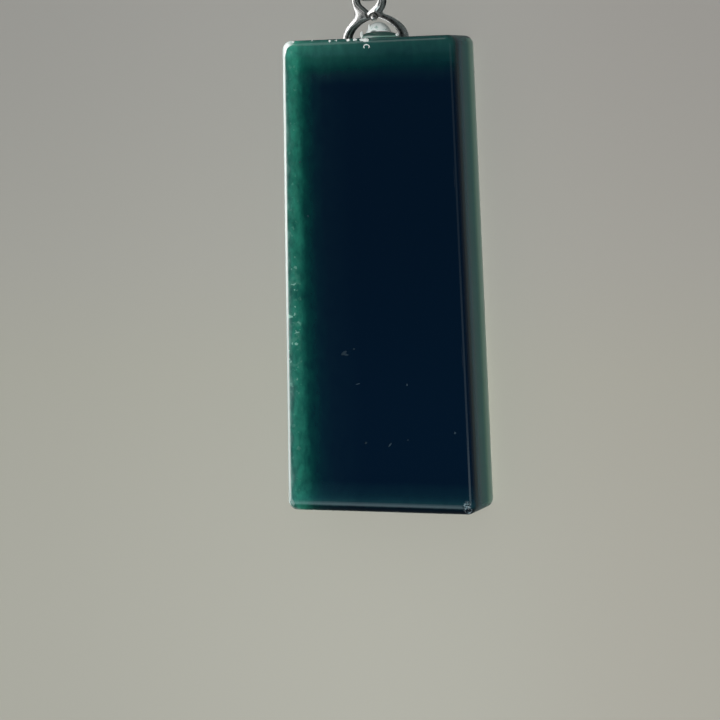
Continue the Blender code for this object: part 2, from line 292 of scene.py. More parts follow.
def tablet_sides(side_inset, bottom_inset, radius):
    """The four sides of the tablet's outline, each from the middle of one corner to the next.

    They run counter-clockwise from the bottom left corner. Each corner is an arc whose centre lies
    the inset and the radius inside both of its edges, and the straights between arcs are divided
    evenly.
    """
    side_in = side_inset + radius
    bottom_in = bottom_inset + radius
    bottom_x = PLAQUE_BOTTOM_WIDTH / 2 - (side_in + bottom_in * math.sin(LEAN)) / math.cos(LEAN)
    top_x = PLAQUE_TOP_WIDTH / 2 - side_in * (1 - math.sin(LEAN)) / math.cos(LEAN)
    low_y = BOTTOM_Y + bottom_in
    high_y = TOP_Y - side_in
    corners = (
        (-bottom_x, low_y, math.pi - LEAN, 3 * math.pi / 2),
        (bottom_x, low_y, -math.pi / 2, LEAN),
        (top_x, high_y, LEAN, math.pi / 2),
        (-top_x, high_y, math.pi / 2, math.pi - LEAN),
    )
    arcs = []
    for x, y, start, end in corners:
        angle = np.linspace(start, end, 2 * HALF_ARC_STEPS + 1)
        arcs.append(np.array((x, y)) + radius * np.column_stack((np.cos(angle), np.sin(angle))))
    sides = []
    for k, steps in enumerate((ACROSS_STEPS, ALONG_STEPS, ACROSS_STEPS, ALONG_STEPS)):
        leave = arcs[k][HALF_ARC_STEPS:]
        reach = arcs[(k + 1) % 4][:HALF_ARC_STEPS + 1]
        share = np.linspace(0, 1, steps + 1)[1:-1, None]
        straight = leave[-1] + (reach[0] - leave[-1]) * share
        sides.append(np.concatenate((leave, straight, reach)))
    return sides


def closed_outline(sides):
    """One closed ring from sides whose last point is the next side's first."""
    return np.concatenate([side[:-1] for side in sides])


def face_inside(sides):
    """The inner points of a face: a Coons patch, the two ruled surfaces less the bilinear one."""
    bottom, right, top, left = sides[0], sides[1], sides[2][::-1], sides[3][::-1]
    u = ((bottom[:, 0] - bottom[0, 0]) / (bottom[-1, 0] - bottom[0, 0]))[None, 1:-1, None]
    v = ((left[:, 1] - left[0, 1]) / (left[-1, 1] - left[0, 1]))[1:-1, None, None]
    ruled_up = (1 - v) * bottom[None, 1:-1] + v * top[None, 1:-1]
    ruled_across = (1 - u) * left[1:-1, None] + u * right[1:-1, None]
    low = (1 - u) * bottom[0] + u * bottom[-1]
    high = (1 - u) * top[0] + u * top[-1]
    return (ruled_up + ruled_across - (1 - v) * low - v * high).reshape(-1, 2)


def polish_wave(points):
    """The slow unevenness of a hand-polished face: a sum of crossed sine waves, never above zero."""
    x, y = points.T / MM
    wave = sum(np.sin(across * x + along * y + start) for across, along, start in WAVES)
    return WAVE_HEIGHT * (wave - len(WAVES))


def tablet_shape():
    """Points and faces of the tablet: rounded edges, plain sides, and a patch over each flat face.

    Each ring lies between the outer outline and the face's outline by the cosine of an angle, while
    its height closes on the face by one less the sine. Along the bottom the rounding is a quarter of
    a flat ellipse, because the face's outline lies further in there.
    """
    outer = closed_outline(tablet_sides(0, 0, CORNER_RADIUS))
    face_sides = tablet_sides(EDGE_RADIUS, FOOT_ROUNDING, CORNER_RADIUS - EDGE_RADIUS)
    face = closed_outline(face_sides)
    ring_count = len(outer)
    back_rings = []
    front_rings = []
    for angle in np.linspace(math.pi / 2, 0, ROUNDING_STEPS + 1):
        outline = face + (outer - face) * math.cos(angle)
        drop = np.full(ring_count, EDGE_RADIUS * (1 - math.sin(angle)))
        back_rings.append(np.column_stack((outline, drop)))
        front_rings.append(np.column_stack((outline, THICKNESS - drop)))
    side_rings = []
    for height in np.linspace(EDGE_RADIUS, THICKNESS - EDGE_RADIUS, SIDE_STEPS + 1)[1:-1]:
        side_rings.append(np.column_stack((outer, np.full(ring_count, height))))
    rings = back_rings + side_rings + front_rings[::-1]

    width = HALF_ARC_STEPS * 2 + ACROSS_STEPS
    height = HALF_ARC_STEPS * 2 + ALONG_STEPS
    inside = face_inside(face_sides)
    inside_count = len(inside)
    back = np.column_stack((inside, np.zeros(inside_count)))
    front = np.column_stack((inside, np.full(inside_count, THICKNESS)))
    margin = np.minimum(inside[:, 1] - inside[:, 1].min(), inside[:, 1].max() - inside[:, 1])
    front[:, 2] += polish_wave(inside) * np.clip(margin / WAVE_MARGIN, 0, 1)

    index = np.arange(len(rings) * ring_count).reshape(len(rings), ring_count)
    faces = [ring_quads(index)]
    start = index.size
    for ring, first in ((index[0], start), (index[-1], start + inside_count)):
        cells = np.empty((height + 1, width + 1), int)
        cells[1:-1, 1:-1] = first + np.arange(inside_count).reshape(height - 1, width - 1)
        cells[0, :] = ring[:width + 1]
        cells[:, -1] = ring[width:width + height + 1]
        cells[-1, ::-1] = ring[width + height:2 * width + height + 1]
        cells[::-1, 0] = np.append(ring[2 * width + height:], ring[0])
        faces.append(grid_quads(cells))
    points = np.concatenate((*rings, back, front))
    return np.clip(points, jade_low, jade_high), faces


def build_jade(material):
    """The tablet with its boss and its ridge of cement, and small chips in the front's corner."""
    tablet = make_piece("jade_tablet", *tablet_shape(), material)
    half_width = ARCH_INNER_HALF - BOSS_SIDE_GAP - BOSS_SHIFT_X
    boss_place = (ARCH_OFFSET_X + BOSS_SHIFT_X, TOP_Y, MID_Z)
    boss_radii = (half_width, ARCH_INNER_RISE - BOSS_TOP_GAP, BOSS_DEPTH / 2)
    ridge_z = MID_Z + ARCH_DEPTH / 2 + RIDGE_GAP + RIDGE_DEPTH / 2
    ridge_place = (ARCH_OFFSET_X + RIDGE_SHIFT_X, TOP_Y, ridge_z)
    ridge_radii = (RIDGE_WIDTH / 2, RIDGE_HEIGHT, RIDGE_DEPTH / 2)
    for name, place, radii in (("boss", boss_place, boss_radii), ("ridge", ridge_place, ridge_radii)):
        lump = make_piece(name, *ellipsoid(place, radii, BOSS_FINENESS), material)
        join_shapes(tablet, lump, "UNION")
    for x, y, down, size in CHIPS:
        centre = (x * MM, CENTRE_Y + y * MM, THICKNESS + (CHIP_LIFT * size - down) * MM)
        radii = np.array((size, size * CHIP_STRETCH, size)) * MM
        chip = make_piece("chip", *ellipsoid(centre, radii, CHIP_FINENESS), material)
        join_shapes(tablet, chip, "DIFFERENCE")
    finish_piece(tablet, "jade_plaque", TABLET_SMOOTH)


# Silver mount

def ellipse_arc(centre, half_width, half_height, start, end, steps):
    """Points on an ellipse between two angles counted counter-clockwise from +X."""
    angle = np.linspace(start, end, steps + 1)
    return np.column_stack((centre[0] + half_width * np.cos(angle), centre[1] + half_height * np.sin(angle)))


def bow_arc(half_width, rise, start, end, steps):
    """Points on one of the arch's outlines, a superellipse, between two angles.

    The cosine times the half width and the sine times the rise are each raised to two over the
    fullness, which is 2 for an ellipse and less for straighter legs.
    """
    angle = np.linspace(start, end, steps + 1)
    power = 2 / ARCH_FULLNESS
    across = np.sign(np.cos(angle)) * np.abs(np.cos(angle)) ** power
    up = np.abs(np.sin(angle)) ** power
    return np.column_stack((ARCH_OFFSET_X + half_width * across, TOP_Y + rise * up))


def bow_way(angle):
    """The direction of the arch's outer outline at an angle: its derivative, up to a factor."""
    power = 2 / ARCH_FULLNESS - 1
    across = -ARCH_HALF * math.sin(angle) * abs(math.cos(angle)) ** power
    up = ARCH_RISE * math.cos(angle) * abs(math.sin(angle)) ** power
    return np.array((across, up))


def shoulder_curve(start, start_way, end, end_way):
    """A quadratic curve between two points whose control point is where their tangents cross."""
    along = np.linalg.solve(np.column_stack((start_way, end_way)), end - start)[0]
    control = start + along * start_way
    t = np.linspace(0, 1, SHOULDER_STEPS + 1)[:, None]
    return (1 - t) ** 2 * start + 2 * t * (1 - t) * control + t ** 2 * end


def mount_outline():
    """The mount's outer outline and the width of its bevel at each point, counter-clockwise.

    The arch is half of a superellipse with straight feet, the eye an ellipse that rests on it, and a
    concave shoulder on each side joins the two smoothly. The bevel narrows along the shoulders, and
    swells in the left one by half a sine wave.
    """
    eye = np.array((EYE_OFFSET_X, TOP_Y + EYE_CENTRE))
    foot_y = TOP_Y - FOOT_SINK
    half_w = EYE_WIDTH / 2
    half_h = EYE_HEIGHT / 2
    land = []
    for side, reach in zip((1, -1), SHOULDER_REACHES):
        across = (EYE_FROM_ARCH + side * reach) / ARCH_HALF
        land.append(math.acos(math.copysign(abs(across) ** (ARCH_FULLNESS / 2), across)))
    leave = [-math.pi / 2 + SHOULDER_ANGLES[0], 3 * math.pi / 2 - SHOULDER_ANGLES[1]]
    right_leg = bow_arc(ARCH_HALF, ARCH_RISE, 0, land[0], LEG_STEPS)
    around_eye = ellipse_arc(eye, half_w, half_h, leave[0], leave[1], EYE_STEPS)
    left_leg = bow_arc(ARCH_HALF, ARCH_RISE, land[1], math.pi, LEG_STEPS)
    eye_way = [np.array((-half_w * math.sin(a), half_h * math.cos(a))) for a in leave]
    right_shoulder = shoulder_curve(right_leg[-1], bow_way(land[0]), around_eye[0], eye_way[0])[1:-1]
    left_shoulder = shoulder_curve(around_eye[-1], eye_way[1], left_leg[0], bow_way(land[1]))[1:-1]
    inner = bow_arc(ARCH_INNER_HALF, ARCH_INNER_RISE, math.pi, 0, INNER_STEPS)
    foot_x = np.linspace(ARCH_HALF, ARCH_INNER_HALF, FOOT_STEPS + 1)
    foot_line = np.full(FOOT_STEPS + 1, foot_y)
    left_foot = np.column_stack((ARCH_OFFSET_X - foot_x, foot_line))
    right_foot = np.column_stack((ARCH_OFFSET_X + foot_x[::-1], foot_line))
    share = np.linspace(0, 1, len(right_shoulder))
    narrowing = LEG_BEVEL + (EYE_BEVEL - LEG_BEVEL) * share
    broadening = narrowing[::-1] + SHOULDER_BEVEL * np.sin(math.pi * share)
    parts = (
        (right_leg, LEG_BEVEL),
        (right_shoulder, narrowing),
        (around_eye, EYE_BEVEL),
        (left_shoulder, broadening),
        (left_leg, LEG_BEVEL),
        (left_foot, INNER_BEVEL),
        (inner, INNER_BEVEL),
        (right_foot, INNER_BEVEL),
    )
    outline = np.concatenate([points for points, _ in parts])
    return outline, np.concatenate([np.broadcast_to(width, len(points)) for points, width in parts])


def hollow_outline():
    """The eye's hollow and its bevel's width, clockwise: an ellipse that ends in a V below.

    The V's sides are the tangents to the ellipse from its point. They touch it at the angle whose
    cosine is the half height over the distance from the centre to the point. The bevel is widest
    half way along the right one, by a power of a sine.
    """
    top = EYE_BOTTOM + EYE_HEIGHT - EYE_WALL
    low = CREST + EYE_VEE_DEPTH
    half_h = (top - low) / 2
    centre = np.array((EYE_OFFSET_X, TOP_Y + low + half_h))
    touch = math.acos(half_h / (half_h + EYE_VEE_DEPTH))
    start = -math.pi / 2 + touch
    round_part = ellipse_arc(centre, EYE_WIDTH / 2 - EYE_WALL, half_h, start, math.pi - start, EYE_STEPS)
    point = np.array((EYE_OFFSET_X, TOP_Y + CREST))
    share = np.linspace(0, 1, FLANK_STEPS + 1)[1:, None]
    left_flank = round_part[-1] + (point - round_part[-1]) * share
    right_flank = point + (round_part[0] - point) * share[:-1]
    flank_width = HOLLOW_BEVEL + (VEE_BEVEL - HOLLOW_BEVEL) * np.sin(math.pi * share[:, 0]) ** VEE_FULLNESS
    outline = np.concatenate((round_part, left_flank, right_flank))
    plain = np.full(len(round_part) + FLANK_STEPS, HOLLOW_BEVEL)
    width = np.concatenate((plain, flank_width[:-1]))
    return outline[::-1], width[::-1]


def inset_outline(outline, distance):
    """Move each point of a closed outline inwards by its own distance, with mitred corners.

    A point moves along the sum of its two edges' inward normals over one plus their dot product.
    """
    before = outline - np.roll(outline, 1, axis=0)
    after = np.roll(outline, -1, axis=0) - outline
    before = before / np.linalg.norm(before, axis=1, keepdims=True)
    after = after / np.linalg.norm(after, axis=1, keepdims=True)
    normal_before = np.column_stack((-before[:, 1], before[:, 0]))
    normal_after = np.column_stack((-after[:, 1], after[:, 0]))
    dot = np.sum(normal_before * normal_after, axis=1, keepdims=True)
    return outline + distance[:, None] * (normal_before + normal_after) / (1 + dot)


def mount_half_depth(y):
    """Half the mount's depth at a height: the arch's depth, easing to the eye's above the crest."""
    t = np.clip((y - TOP_Y - CREST) / (EYE_CENTRE - CREST), 0, 1)
    return (ARCH_DEPTH + (EYE_DEPTH - ARCH_DEPTH) * t * t * (3 - 2 * t)) / 2


def mount_rings(outline, width):
    """The rings of one wall of the mount, from its back face to its front face.

    On a bevel a ring lies in by a share of the bevel's width, and below the face by the slope times
    the width times one less that share, to the power of the fullness. Between the bevels a shallow
    rib runs round the middle, with a groove on each side: the depth of a ring there is half of one
    less the cosine of two turns.
    """
    half_depth = mount_half_depth(outline[:, 1])
    bevel_height = BEVEL_SLOPE * width
    shares = np.linspace(0, 1, BEVEL_STEPS + 1)
    bevel = [(share * width, bevel_height * (1 - share) ** BEVEL_FULLNESS) for share in shares]
    rings = []
    for inset, drop in bevel[::-1]:
        rings.append(np.column_stack((inset_outline(outline, inset), MID_Z - half_depth + drop)))
    for share in np.linspace(0, 1, DEPTH_STEPS + 1)[1:-1]:
        groove = RIB_DEPTH * (1 - math.cos(4 * math.pi * share)) / 2
        height = MID_Z + (half_depth - bevel_height) * (2 * share - 1)
        rings.append(np.column_stack((inset_outline(outline, np.full(len(outline), groove)), height)))
    for inset, drop in bevel:
        rings.append(np.column_stack((inset_outline(outline, inset), MID_Z + half_depth - drop)))
    return rings


# The silver's polish and painted light across the mount's depth: places from -1 at its back to 1
# at its front, and values from 0 for tarnish and painted shade to 1 for bright polish and painted
# highlight
INSIDE_SHARES = (-1.0, -0.9, -0.08, 0.06, 0.28, 0.38, 0.76, 0.86, 0.97, 1.0)
INSIDE_POLISH_AND_LIGHT = (0.5, 0.00, 0.00, 1.00, 1.00, 0.00, 0.00, 0.90, 1.00, 0.55)
LEG_SHARES = (-1.0, -0.6, 0.0, 0.4, 0.7, 0.86, 0.97, 1.0)
LEG_POLISH_AND_LIGHT = (0.50, 0.60, 0.62, 0.45, 0.10, 0.90, 1.00, 0.55)
EYE_SHARES = (-1.0, -0.45, -0.2, 0.15, 0.40, 0.55, 0.72, 0.86, 0.97, 1.0)
EYE_POLISH_AND_LIGHT = (0.0, 0.05, 0.50, 0.95, 0.60, 0.05, 0.05, 0.90, 1.00, 0.55)
# The right leg's rim is darkened by this share: painted shade
RIGHT_SHADE_REACH = 1.2 * MM
RIGHT_SHADE_SHARE = 0.85
RIM_SHARE = 0.80


def mount_polish_and_light(points):
    """How bright the silver is at each point, from 0 for tarnish and painted shade to 1 for polish
    and painted highlight.

    It follows the depth, as a share of half the strip's depth, by one profile inside the arch and
    the eye and one each for the legs and the eye outside. A point is inside where it lies within
    the middle line of the strip. The right leg's rim is dull: painted shade.
    """
    x, y, z = points.T
    share = (z - MID_Z) / mount_half_depth(y)
    middle_half = ARCH_HALF - STRIP_THICKNESS / 2
    middle_rise = ARCH_RISE - STRIP_THICKNESS / 2
    across = np.abs(x - ARCH_OFFSET_X) / middle_half
    up = np.clip(y - TOP_Y, 0, None) / middle_rise
    in_arch = across ** ARCH_FULLNESS + up ** ARCH_FULLNESS < 1
    eye_x = (x - EYE_OFFSET_X) / ((EYE_WIDTH - EYE_WALL) / 2)
    eye_y = (y - TOP_Y - EYE_CENTRE) / ((EYE_HEIGHT - EYE_WALL) / 2)
    in_eye = eye_x ** 2 + eye_y ** 2 < 1
    inside = np.interp(share, INSIDE_SHARES, INSIDE_POLISH_AND_LIGHT)
    leg = np.interp(share, LEG_SHARES, LEG_POLISH_AND_LIGHT)
    eye = np.interp(share, EYE_SHARES, EYE_POLISH_AND_LIGHT)
    rise = np.clip((y - TOP_Y - CREST) / (EYE_CENTRE - CREST), 0, 1)
    polish_and_light = np.where(in_arch | in_eye, inside, leg + (eye - leg) * rise)
    dull = np.clip((x - ARCH_OFFSET_X) / RIGHT_SHADE_REACH, 0, 1) * (y < TOP_Y + EYE_BOTTOM) * ~in_arch
    return polish_and_light * (1 - RIGHT_SHADE_SHARE * dull * (share > RIM_SHARE))


def bead_place():
    """The centre of the bead of solder: on the arch's inner outline, near the front of the strip."""
    x = EYE_OFFSET_X + BEAD_OFFSET_X
    across = abs(x - ARCH_OFFSET_X) / ARCH_INNER_HALF
    y = TOP_Y + ARCH_INNER_RISE * (1 - across ** ARCH_FULLNESS) ** (1 / ARCH_FULLNESS)
    return (x, y, MID_Z + ARCH_DEPTH / 2 - BEAD_SET_BACK)


def build_mount(material):
    """The bent strip: its outline and its hollow carried through its depth, and a bead of solder."""
    points = []
    faces = []
    count = 0
    for outline, width in (mount_outline(), hollow_outline()):
        rings = mount_rings(outline, width)
        index = count + np.arange(len(rings) * len(outline)).reshape(len(rings), -1)
        points += rings
        faces.append(ring_quads(index))
        count += index.size
    bm = bmesh_from_rows(np.concatenate(points), faces)
    rims = [edge for edge in bm.edges if edge.is_boundary]
    for side in (-1, 1):
        rim = [edge for edge in rims if (edge.verts[0].co.z - MID_Z) * side > 0]
        bmesh.ops.triangle_fill(bm, use_beauty=True, edges=rim, normal=(0, 0, side))
    mount = piece_from_bmesh("mount_strip", bm, material)

    bead = make_piece("bead", *ellipsoid(bead_place(), (BEAD_RADIUS,) * 3, BEAD_FINENESS), material)
    join_shapes(mount, bead, "UNION")
    store_polish_and_light(mount.data, mount_polish_and_light(read_points(mount.data)))
    finish_piece(mount, "silver_mount", MOUNT_SMOOTH)


# Bail

# Its polish through its thickness: places from -1 inside the loop to 1 outside, and values from 0
# for tarnish to 1 for bright
BAIL_SHARES = (-1.0, -0.6, 0.2, 1.0)
BAIL_POLISH = (0.35, 0.45, 1.0, 1.0)


def build_bail(material):
    """The loop: a crowned band carried round an ellipse in the Y-Z plane, wider away from the eye.

    The section is a superellipse: the cosine and sine of an angle, each raised to two over the
    squareness, times half the width and half the thickness. The polish is dull inside the loop.
    """
    t = np.arange(BAIL_STEPS)[:, None] * 2 * math.pi / BAIL_STEPS
    s = np.arange(BAIL_SECTION)[None, :] * 2 * math.pi / BAIL_SECTION
    power = 2 / BAIL_SQUARENESS
    half_width = (BAIL_NEAR_WIDTH + (BAIL_FAR_WIDTH - BAIL_NEAR_WIDTH) * (1 - np.cos(t)) / 2) / 2
    across = half_width * np.sign(np.cos(s)) * np.abs(np.cos(s)) ** power
    through = BAIL_THICKNESS / 2 * np.sign(np.sin(s)) * np.abs(np.sin(s)) ** power
    centre_y = (bail_low.y + bail_high.y) / 2
    centre_z = (bail_low.z + bail_high.z) / 2
    long_radius = (bail_high.y - bail_low.y - BAIL_THICKNESS) / 2
    deep_radius = (bail_high.z - bail_low.z - BAIL_THICKNESS) / 2
    points = np.stack((
        (bail_low.x + bail_high.x) / 2 + across,
        centre_y - (long_radius + through) * np.cos(t),
        centre_z + (deep_radius + through) * np.sin(t),
    ), axis=2).reshape(-1, 3)
    index = np.arange(BAIL_STEPS * BAIL_SECTION).reshape(BAIL_STEPS, BAIL_SECTION)
    faces = [ring_quads(np.concatenate((index, index[:1])))]
    bail = make_piece("bail_band", points, faces, material)
    outward = np.broadcast_to(np.sin(s), (BAIL_STEPS, BAIL_SECTION)).ravel()
    store_polish_and_light(bail.data, np.interp(outward, BAIL_SHARES, BAIL_POLISH))
    finish_piece(bail, "silver_bail", ROUND_SMOOTH)


# Dried cement and dust

# Drops of cement on the top edge by the left foot: across, up from the top edge, forward of the
# front face, and the three radii, in millimetres
DROPS = (
    (-1.86, -0.14, -0.12, 0.20, 0.13, 0.16),
    (-1.18, -0.15, -0.12, 0.21, 0.12, 0.15),
    (-0.50, -0.17, -0.13, 0.22, 0.13, 0.17),
    (-0.10, -0.22, -0.12, 0.33, 0.20, 0.18),
    (-0.72, 0.30, -0.75, 0.15, 0.36, 0.18),
    (-0.42, 0.75, -1.95, 0.12, 0.55, 0.14),
    (2.72, 0.16, -0.95, 0.20, 0.16, 0.20),
    (-7.50, -0.13, -0.14, 0.13, 0.11, 0.11),
    (-5.59, -0.08, -0.30, 0.07, 0.07, 0.07),
    (-3.73, -0.17, -0.12, 0.13, 0.11, 0.11),
    (-3.05, -0.14, -0.12, 0.06, 0.09, 0.08),
)

# A broken ring of cement on the front, below the drops: its place, radii and thickness are in
# millimetres
RING_PLACE = (0.02, -0.83)
RING_RADII = (0.27, 0.20)
RING_THICKNESS = 0.047
RING_TAPER = 0.25
RING_FLATNESS = 0.8
RING_GAP = math.radians(80)

# Flecks of dust on the front: across, up from the plaque's middle, length, width and turn
DUST_HEIGHT = 0.012
DUST = (
    (-3.18, -7.21, 0.34, 0.13, 0.6),
    (-3.02, -7.36, 0.30, 0.10, -0.2),
    (-2.14, -6.82, 0.10, 0.08, 0.0),
    (3.14, -10.20, 0.13, 0.08, 1.2),
    (-1.20, -15.81, 0.12, 0.10, 0.5),
    (-1.84, -10.16, 0.26, 0.04, 0.2),
    (1.25, -15.95, 0.26, 0.07, 0.9),
    (3.08, -15.44, 0.09, 0.06, 0.3),
    (7.82, -14.69, 0.12, 0.10, 1.1),
    (-7.10, 11.02, 0.12, 0.06, 0.9),
    (-6.45, 5.87, 0.10, 0.07, 2.2),
)


def joined_shapes(shapes):
    """The points and faces of several shapes, with each shape's vertex numbers moved on."""
    faces = []
    count = 0
    for rows, shape_faces in shapes:
        faces += [kind + count for kind in shape_faces]
        count += len(rows)
    return np.concatenate([rows for rows, _ in shapes]), faces


def turned(points, centre, angle):
    """Points turned about the Z axis through a centre."""
    x, y, z = (points - centre).T
    across = x * math.cos(angle) - y * math.sin(angle)
    up = x * math.sin(angle) + y * math.cos(angle)
    return np.column_stack((across, up, z)) + centre


def broken_ring():
    """A flattened ring with a gap: a circle carried round part of an ellipse, closing at its ends.

    The circle's radius is the thickness times the sine over the ring's length to a small power.
    """
    along = np.linspace(0, 1, RING_STEPS + 1)[1:-1, None]
    around = np.arange(RING_SECTION)[None, :] * 2 * math.pi / RING_SECTION
    turn = RING_GAP / 2 + (2 * math.pi - RING_GAP) * along - math.pi / 2
    radius = RING_THICKNESS * MM * np.sin(math.pi * along) ** RING_TAPER
    reach = radius * np.cos(around)
    x = RING_PLACE[0] * MM + (RING_RADII[0] * MM + reach) * np.cos(turn)
    y = TOP_Y + RING_PLACE[1] * MM + (RING_RADII[1] * MM + reach) * np.sin(turn)
    z = np.broadcast_to(THICKNESS + radius * np.sin(around) * RING_FLATNESS, x.shape)
    points = np.stack((x, y, z), axis=2).reshape(-1, 3)
    index = np.arange(len(points)).reshape(x.shape)
    return points, [ring_quads(index), index[:1, ::-1], index[-1:]]


def build_cement(material):
    """Small glossy drops of dried cement by the left foot, and a broken ring of it below."""
    shapes = [broken_ring()]
    for x, up, forward, *radii in DROPS:
        centre = (x * MM, TOP_Y + up * MM, THICKNESS + forward * MM)
        shapes.append(ellipsoid(centre, np.array(radii) * MM, DROP_FINENESS))
    cement = make_piece("cement_drops", *joined_shapes(shapes), material)
    finish_piece(cement, None, ROUND_SMOOTH)


def build_dust(material):
    """Flecks of dust on the front, as flat ellipsoids that stand a hundredth of a millimetre high."""
    shapes = []
    for x, y, length, width, turn in DUST:
        centre = np.array((x * MM, CENTRE_Y + y * MM, THICKNESS))
        radii = np.array((length, width, DUST_HEIGHT)) * MM
        points, faces = ellipsoid(centre, radii, FLECK_FINENESS)
        shapes.append((turned(points, centre, turn), faces))
    dust = make_piece("dust_flecks", *joined_shapes(shapes), material)
    finish_piece(dust, None, ROUND_SMOOTH)


# Materials

NOISE_MIDDLE = 0.5


class Nodes:
    """Short calls that add a node to a tree, fill its inputs and return an output."""

    def __init__(self, tree):
        self.tree = tree

    def add(self, kind, inputs=(), output=0, **settings):
        """A node with its settings and its inputs, which are linked or set, and one of its outputs."""
        node = self.tree.nodes.new(kind)
        for key, value in settings.items():
            setattr(node, key, value)
        for key, value in dict(inputs).items():
            if isinstance(value, bpy.types.NodeSocket):
                self.tree.links.new(value, node.inputs[key])
            else:
                node.inputs[key].default_value = value
        return node.outputs[output]

    def math(self, operation, *values, clamp=False):
        """A number worked out from numbers."""
        return self.add("ShaderNodeMath", enumerate(values), operation=operation, use_clamp=clamp)

    def vector(self, operation, *values, output=0):
        """A vector worked out from vectors, or a number by the second output."""
        return self.add("ShaderNodeVectorMath", enumerate(values), output=output, operation=operation)

    def times(self, *values):
        """The product of two or more values."""
        product = values[0]
        for value in values[1:]:
            product = self.math("MULTIPLY", product, value)
        return product

    def scaled(self, vector, factor):
        """A vector or a colour times a number."""
        return self.add("ShaderNodeVectorMath", {0: vector, 3: factor}, operation="SCALE")

    def fade(self, value, low, high, start=0.0, end=1.0):
        """A smooth step of a value from one level to another."""
        inputs = enumerate((value, low, high, start, end))
        return self.add("ShaderNodeMapRange", inputs, interpolation_type="SMOOTHSTEP")

    def mix(self, share, first, second):
        """A colour between two, whose sockets come after those for numbers and vectors."""
        inputs = {0: share, 6: first, 7: second}
        return self.add("ShaderNodeMix", inputs, output=2, data_type="RGBA")

    def ramp(self, value, stops):
        """A colour ramp with stops of place and colour."""
        node = self.tree.nodes.new("ShaderNodeValToRGB")
        band = node.color_ramp.elements
        while len(band) < len(stops):
            band.new(1.0)
        for element, (place, colour) in zip(band, stops):
            element.position = place
            element.color = (*colour, 1.0)
        self.tree.links.new(value, node.inputs[0])
        return node.outputs[0]

    def noise(self, place, scale, detail, roughness, distortion=0.0):
        """A cloudy noise whose values lie round NOISE_MIDDLE."""
        inputs = {
            "Vector": place,
            "Scale": scale,
            "Detail": detail,
            "Roughness": roughness,
            "Distortion": distortion,
        }
        return self.add("ShaderNodeTexNoise", inputs)

    def split(self, vector):
        """The three parts of a vector."""
        node = self.tree.nodes.new("ShaderNodeSeparateXYZ")
        self.tree.links.new(vector, node.inputs[0])
        return node.outputs

    def set_shader(self, shader, **sockets):
        """Link or set the shader's sockets, named with underscores for spaces."""
        for key, value in sockets.items():
            socket = shader.inputs[key.replace("_", " ")]
            if isinstance(value, bpy.types.NodeSocket):
                self.tree.links.new(value, socket)
            else:
                socket.default_value = value

    def depth_ramp(self, depth, reach, stops):
        """A colour ramp over a depth in millimetres, up to a reach."""
        share = self.math("MULTIPLY", depth, 1 / reach)
        return self.ramp(share, [(place / reach, colour) for place, colour in stops])


def new_material(name):
    """A material with its node helper and its Principled shader."""
    material = bpy.data.materials.new(name)
    material.use_nodes = True
    return material, Nodes(material.node_tree), material.node_tree.nodes["Principled BSDF"]


def millimetres(nodes):
    """The object's own coordinates in millimetres."""
    place = nodes.add("ShaderNodeTexCoord", output=3)
    return nodes.vector("MULTIPLY", place, (1 / MM, 1 / MM, 1 / MM))


# The jade's own colour deep inside, and its colour where light comes in at each edge, by the depth
# from that edge in millimetres
DEEP_JADE = (0.0006, 0.0075, 0.0205)
LEFT_REACH = 8.0
LEFT_GLOW = (
    (0.50, (0.098, 0.233, 0.190)),
    (0.70, (0.033, 0.148, 0.106)),
    (1.00, (0.027, 0.187, 0.124)),
    (1.40, (0.0165, 0.161, 0.100)),
    (1.80, (0.013, 0.128, 0.080)),
    (2.15, (0.006, 0.081, 0.049)),
    (2.50, (0.002, 0.040, 0.023)),
    (3.00, (0.001, 0.023, 0.0137)),
    (3.80, (0.001, 0.009, 0.007)),
    (5.00, (0.001, 0.003, 0.003)),
    (8.00, (0.000, 0.000, 0.000)),
)
TOP_REACH = 4.3
TOP_GLOW = (
    (0.00, (0.0140, 0.0620, 0.0450)),
    (1.00, (0.0087, 0.0452, 0.0322)),
    (1.40, (0.0069, 0.0366, 0.0270)),
    (1.75, (0.0034, 0.0261, 0.0159)),
    (2.20, (0.0022, 0.0208, 0.0131)),
    (2.80, (0.0006, 0.0108, 0.0054)),
    (3.40, (0.0012, 0.0050, 0.0040)),
    (4.30, (0.0000, 0.0000, 0.0000)),
)
BOTTOM_REACH = 3.0
BOTTOM_GLOW = (
    (0.00, (0.0000, 0.0020, 0.0030)),
    (0.45, (0.0008, 0.0030, 0.0040)),
    (0.68, (0.0060, 0.0260, 0.0240)),
    (1.10, (0.0060, 0.0270, 0.0250)),
    (1.30, (0.0035, 0.0180, 0.0185)),
    (1.60, (0.0020, 0.0115, 0.0110)),
    (2.00, (0.0015, 0.0075, 0.0080)),
    (2.40, (0.0010, 0.0055, 0.0055)),
    (3.00, (0.0000, 0.0000, 0.0000)),
)
# Right side, by height over the back face: pale painted reflection, then green painted light
SIDE_GLOW = (
    (0.00, (0.800, 0.950, 0.850)),
    (0.30, (0.780, 0.930, 0.830)),
    (0.55, (0.520, 0.680, 0.580)),
    (0.90, (0.290, 0.440, 0.370)),
    (1.40, (0.200, 0.360, 0.290)),
    (1.90, (0.080, 0.220, 0.175)),
    (2.40, (0.035, 0.150, 0.140)),
    (3.40, (0.040, 0.130, 0.135)),
    (4.00, (0.055, 0.110, 0.130)),
    (4.50, (0.020, 0.080, 0.110)),
    (5.00, (0.000, 0.003, 0.010)),
    (5.90, (0.000, 0.003, 0.010)),
)


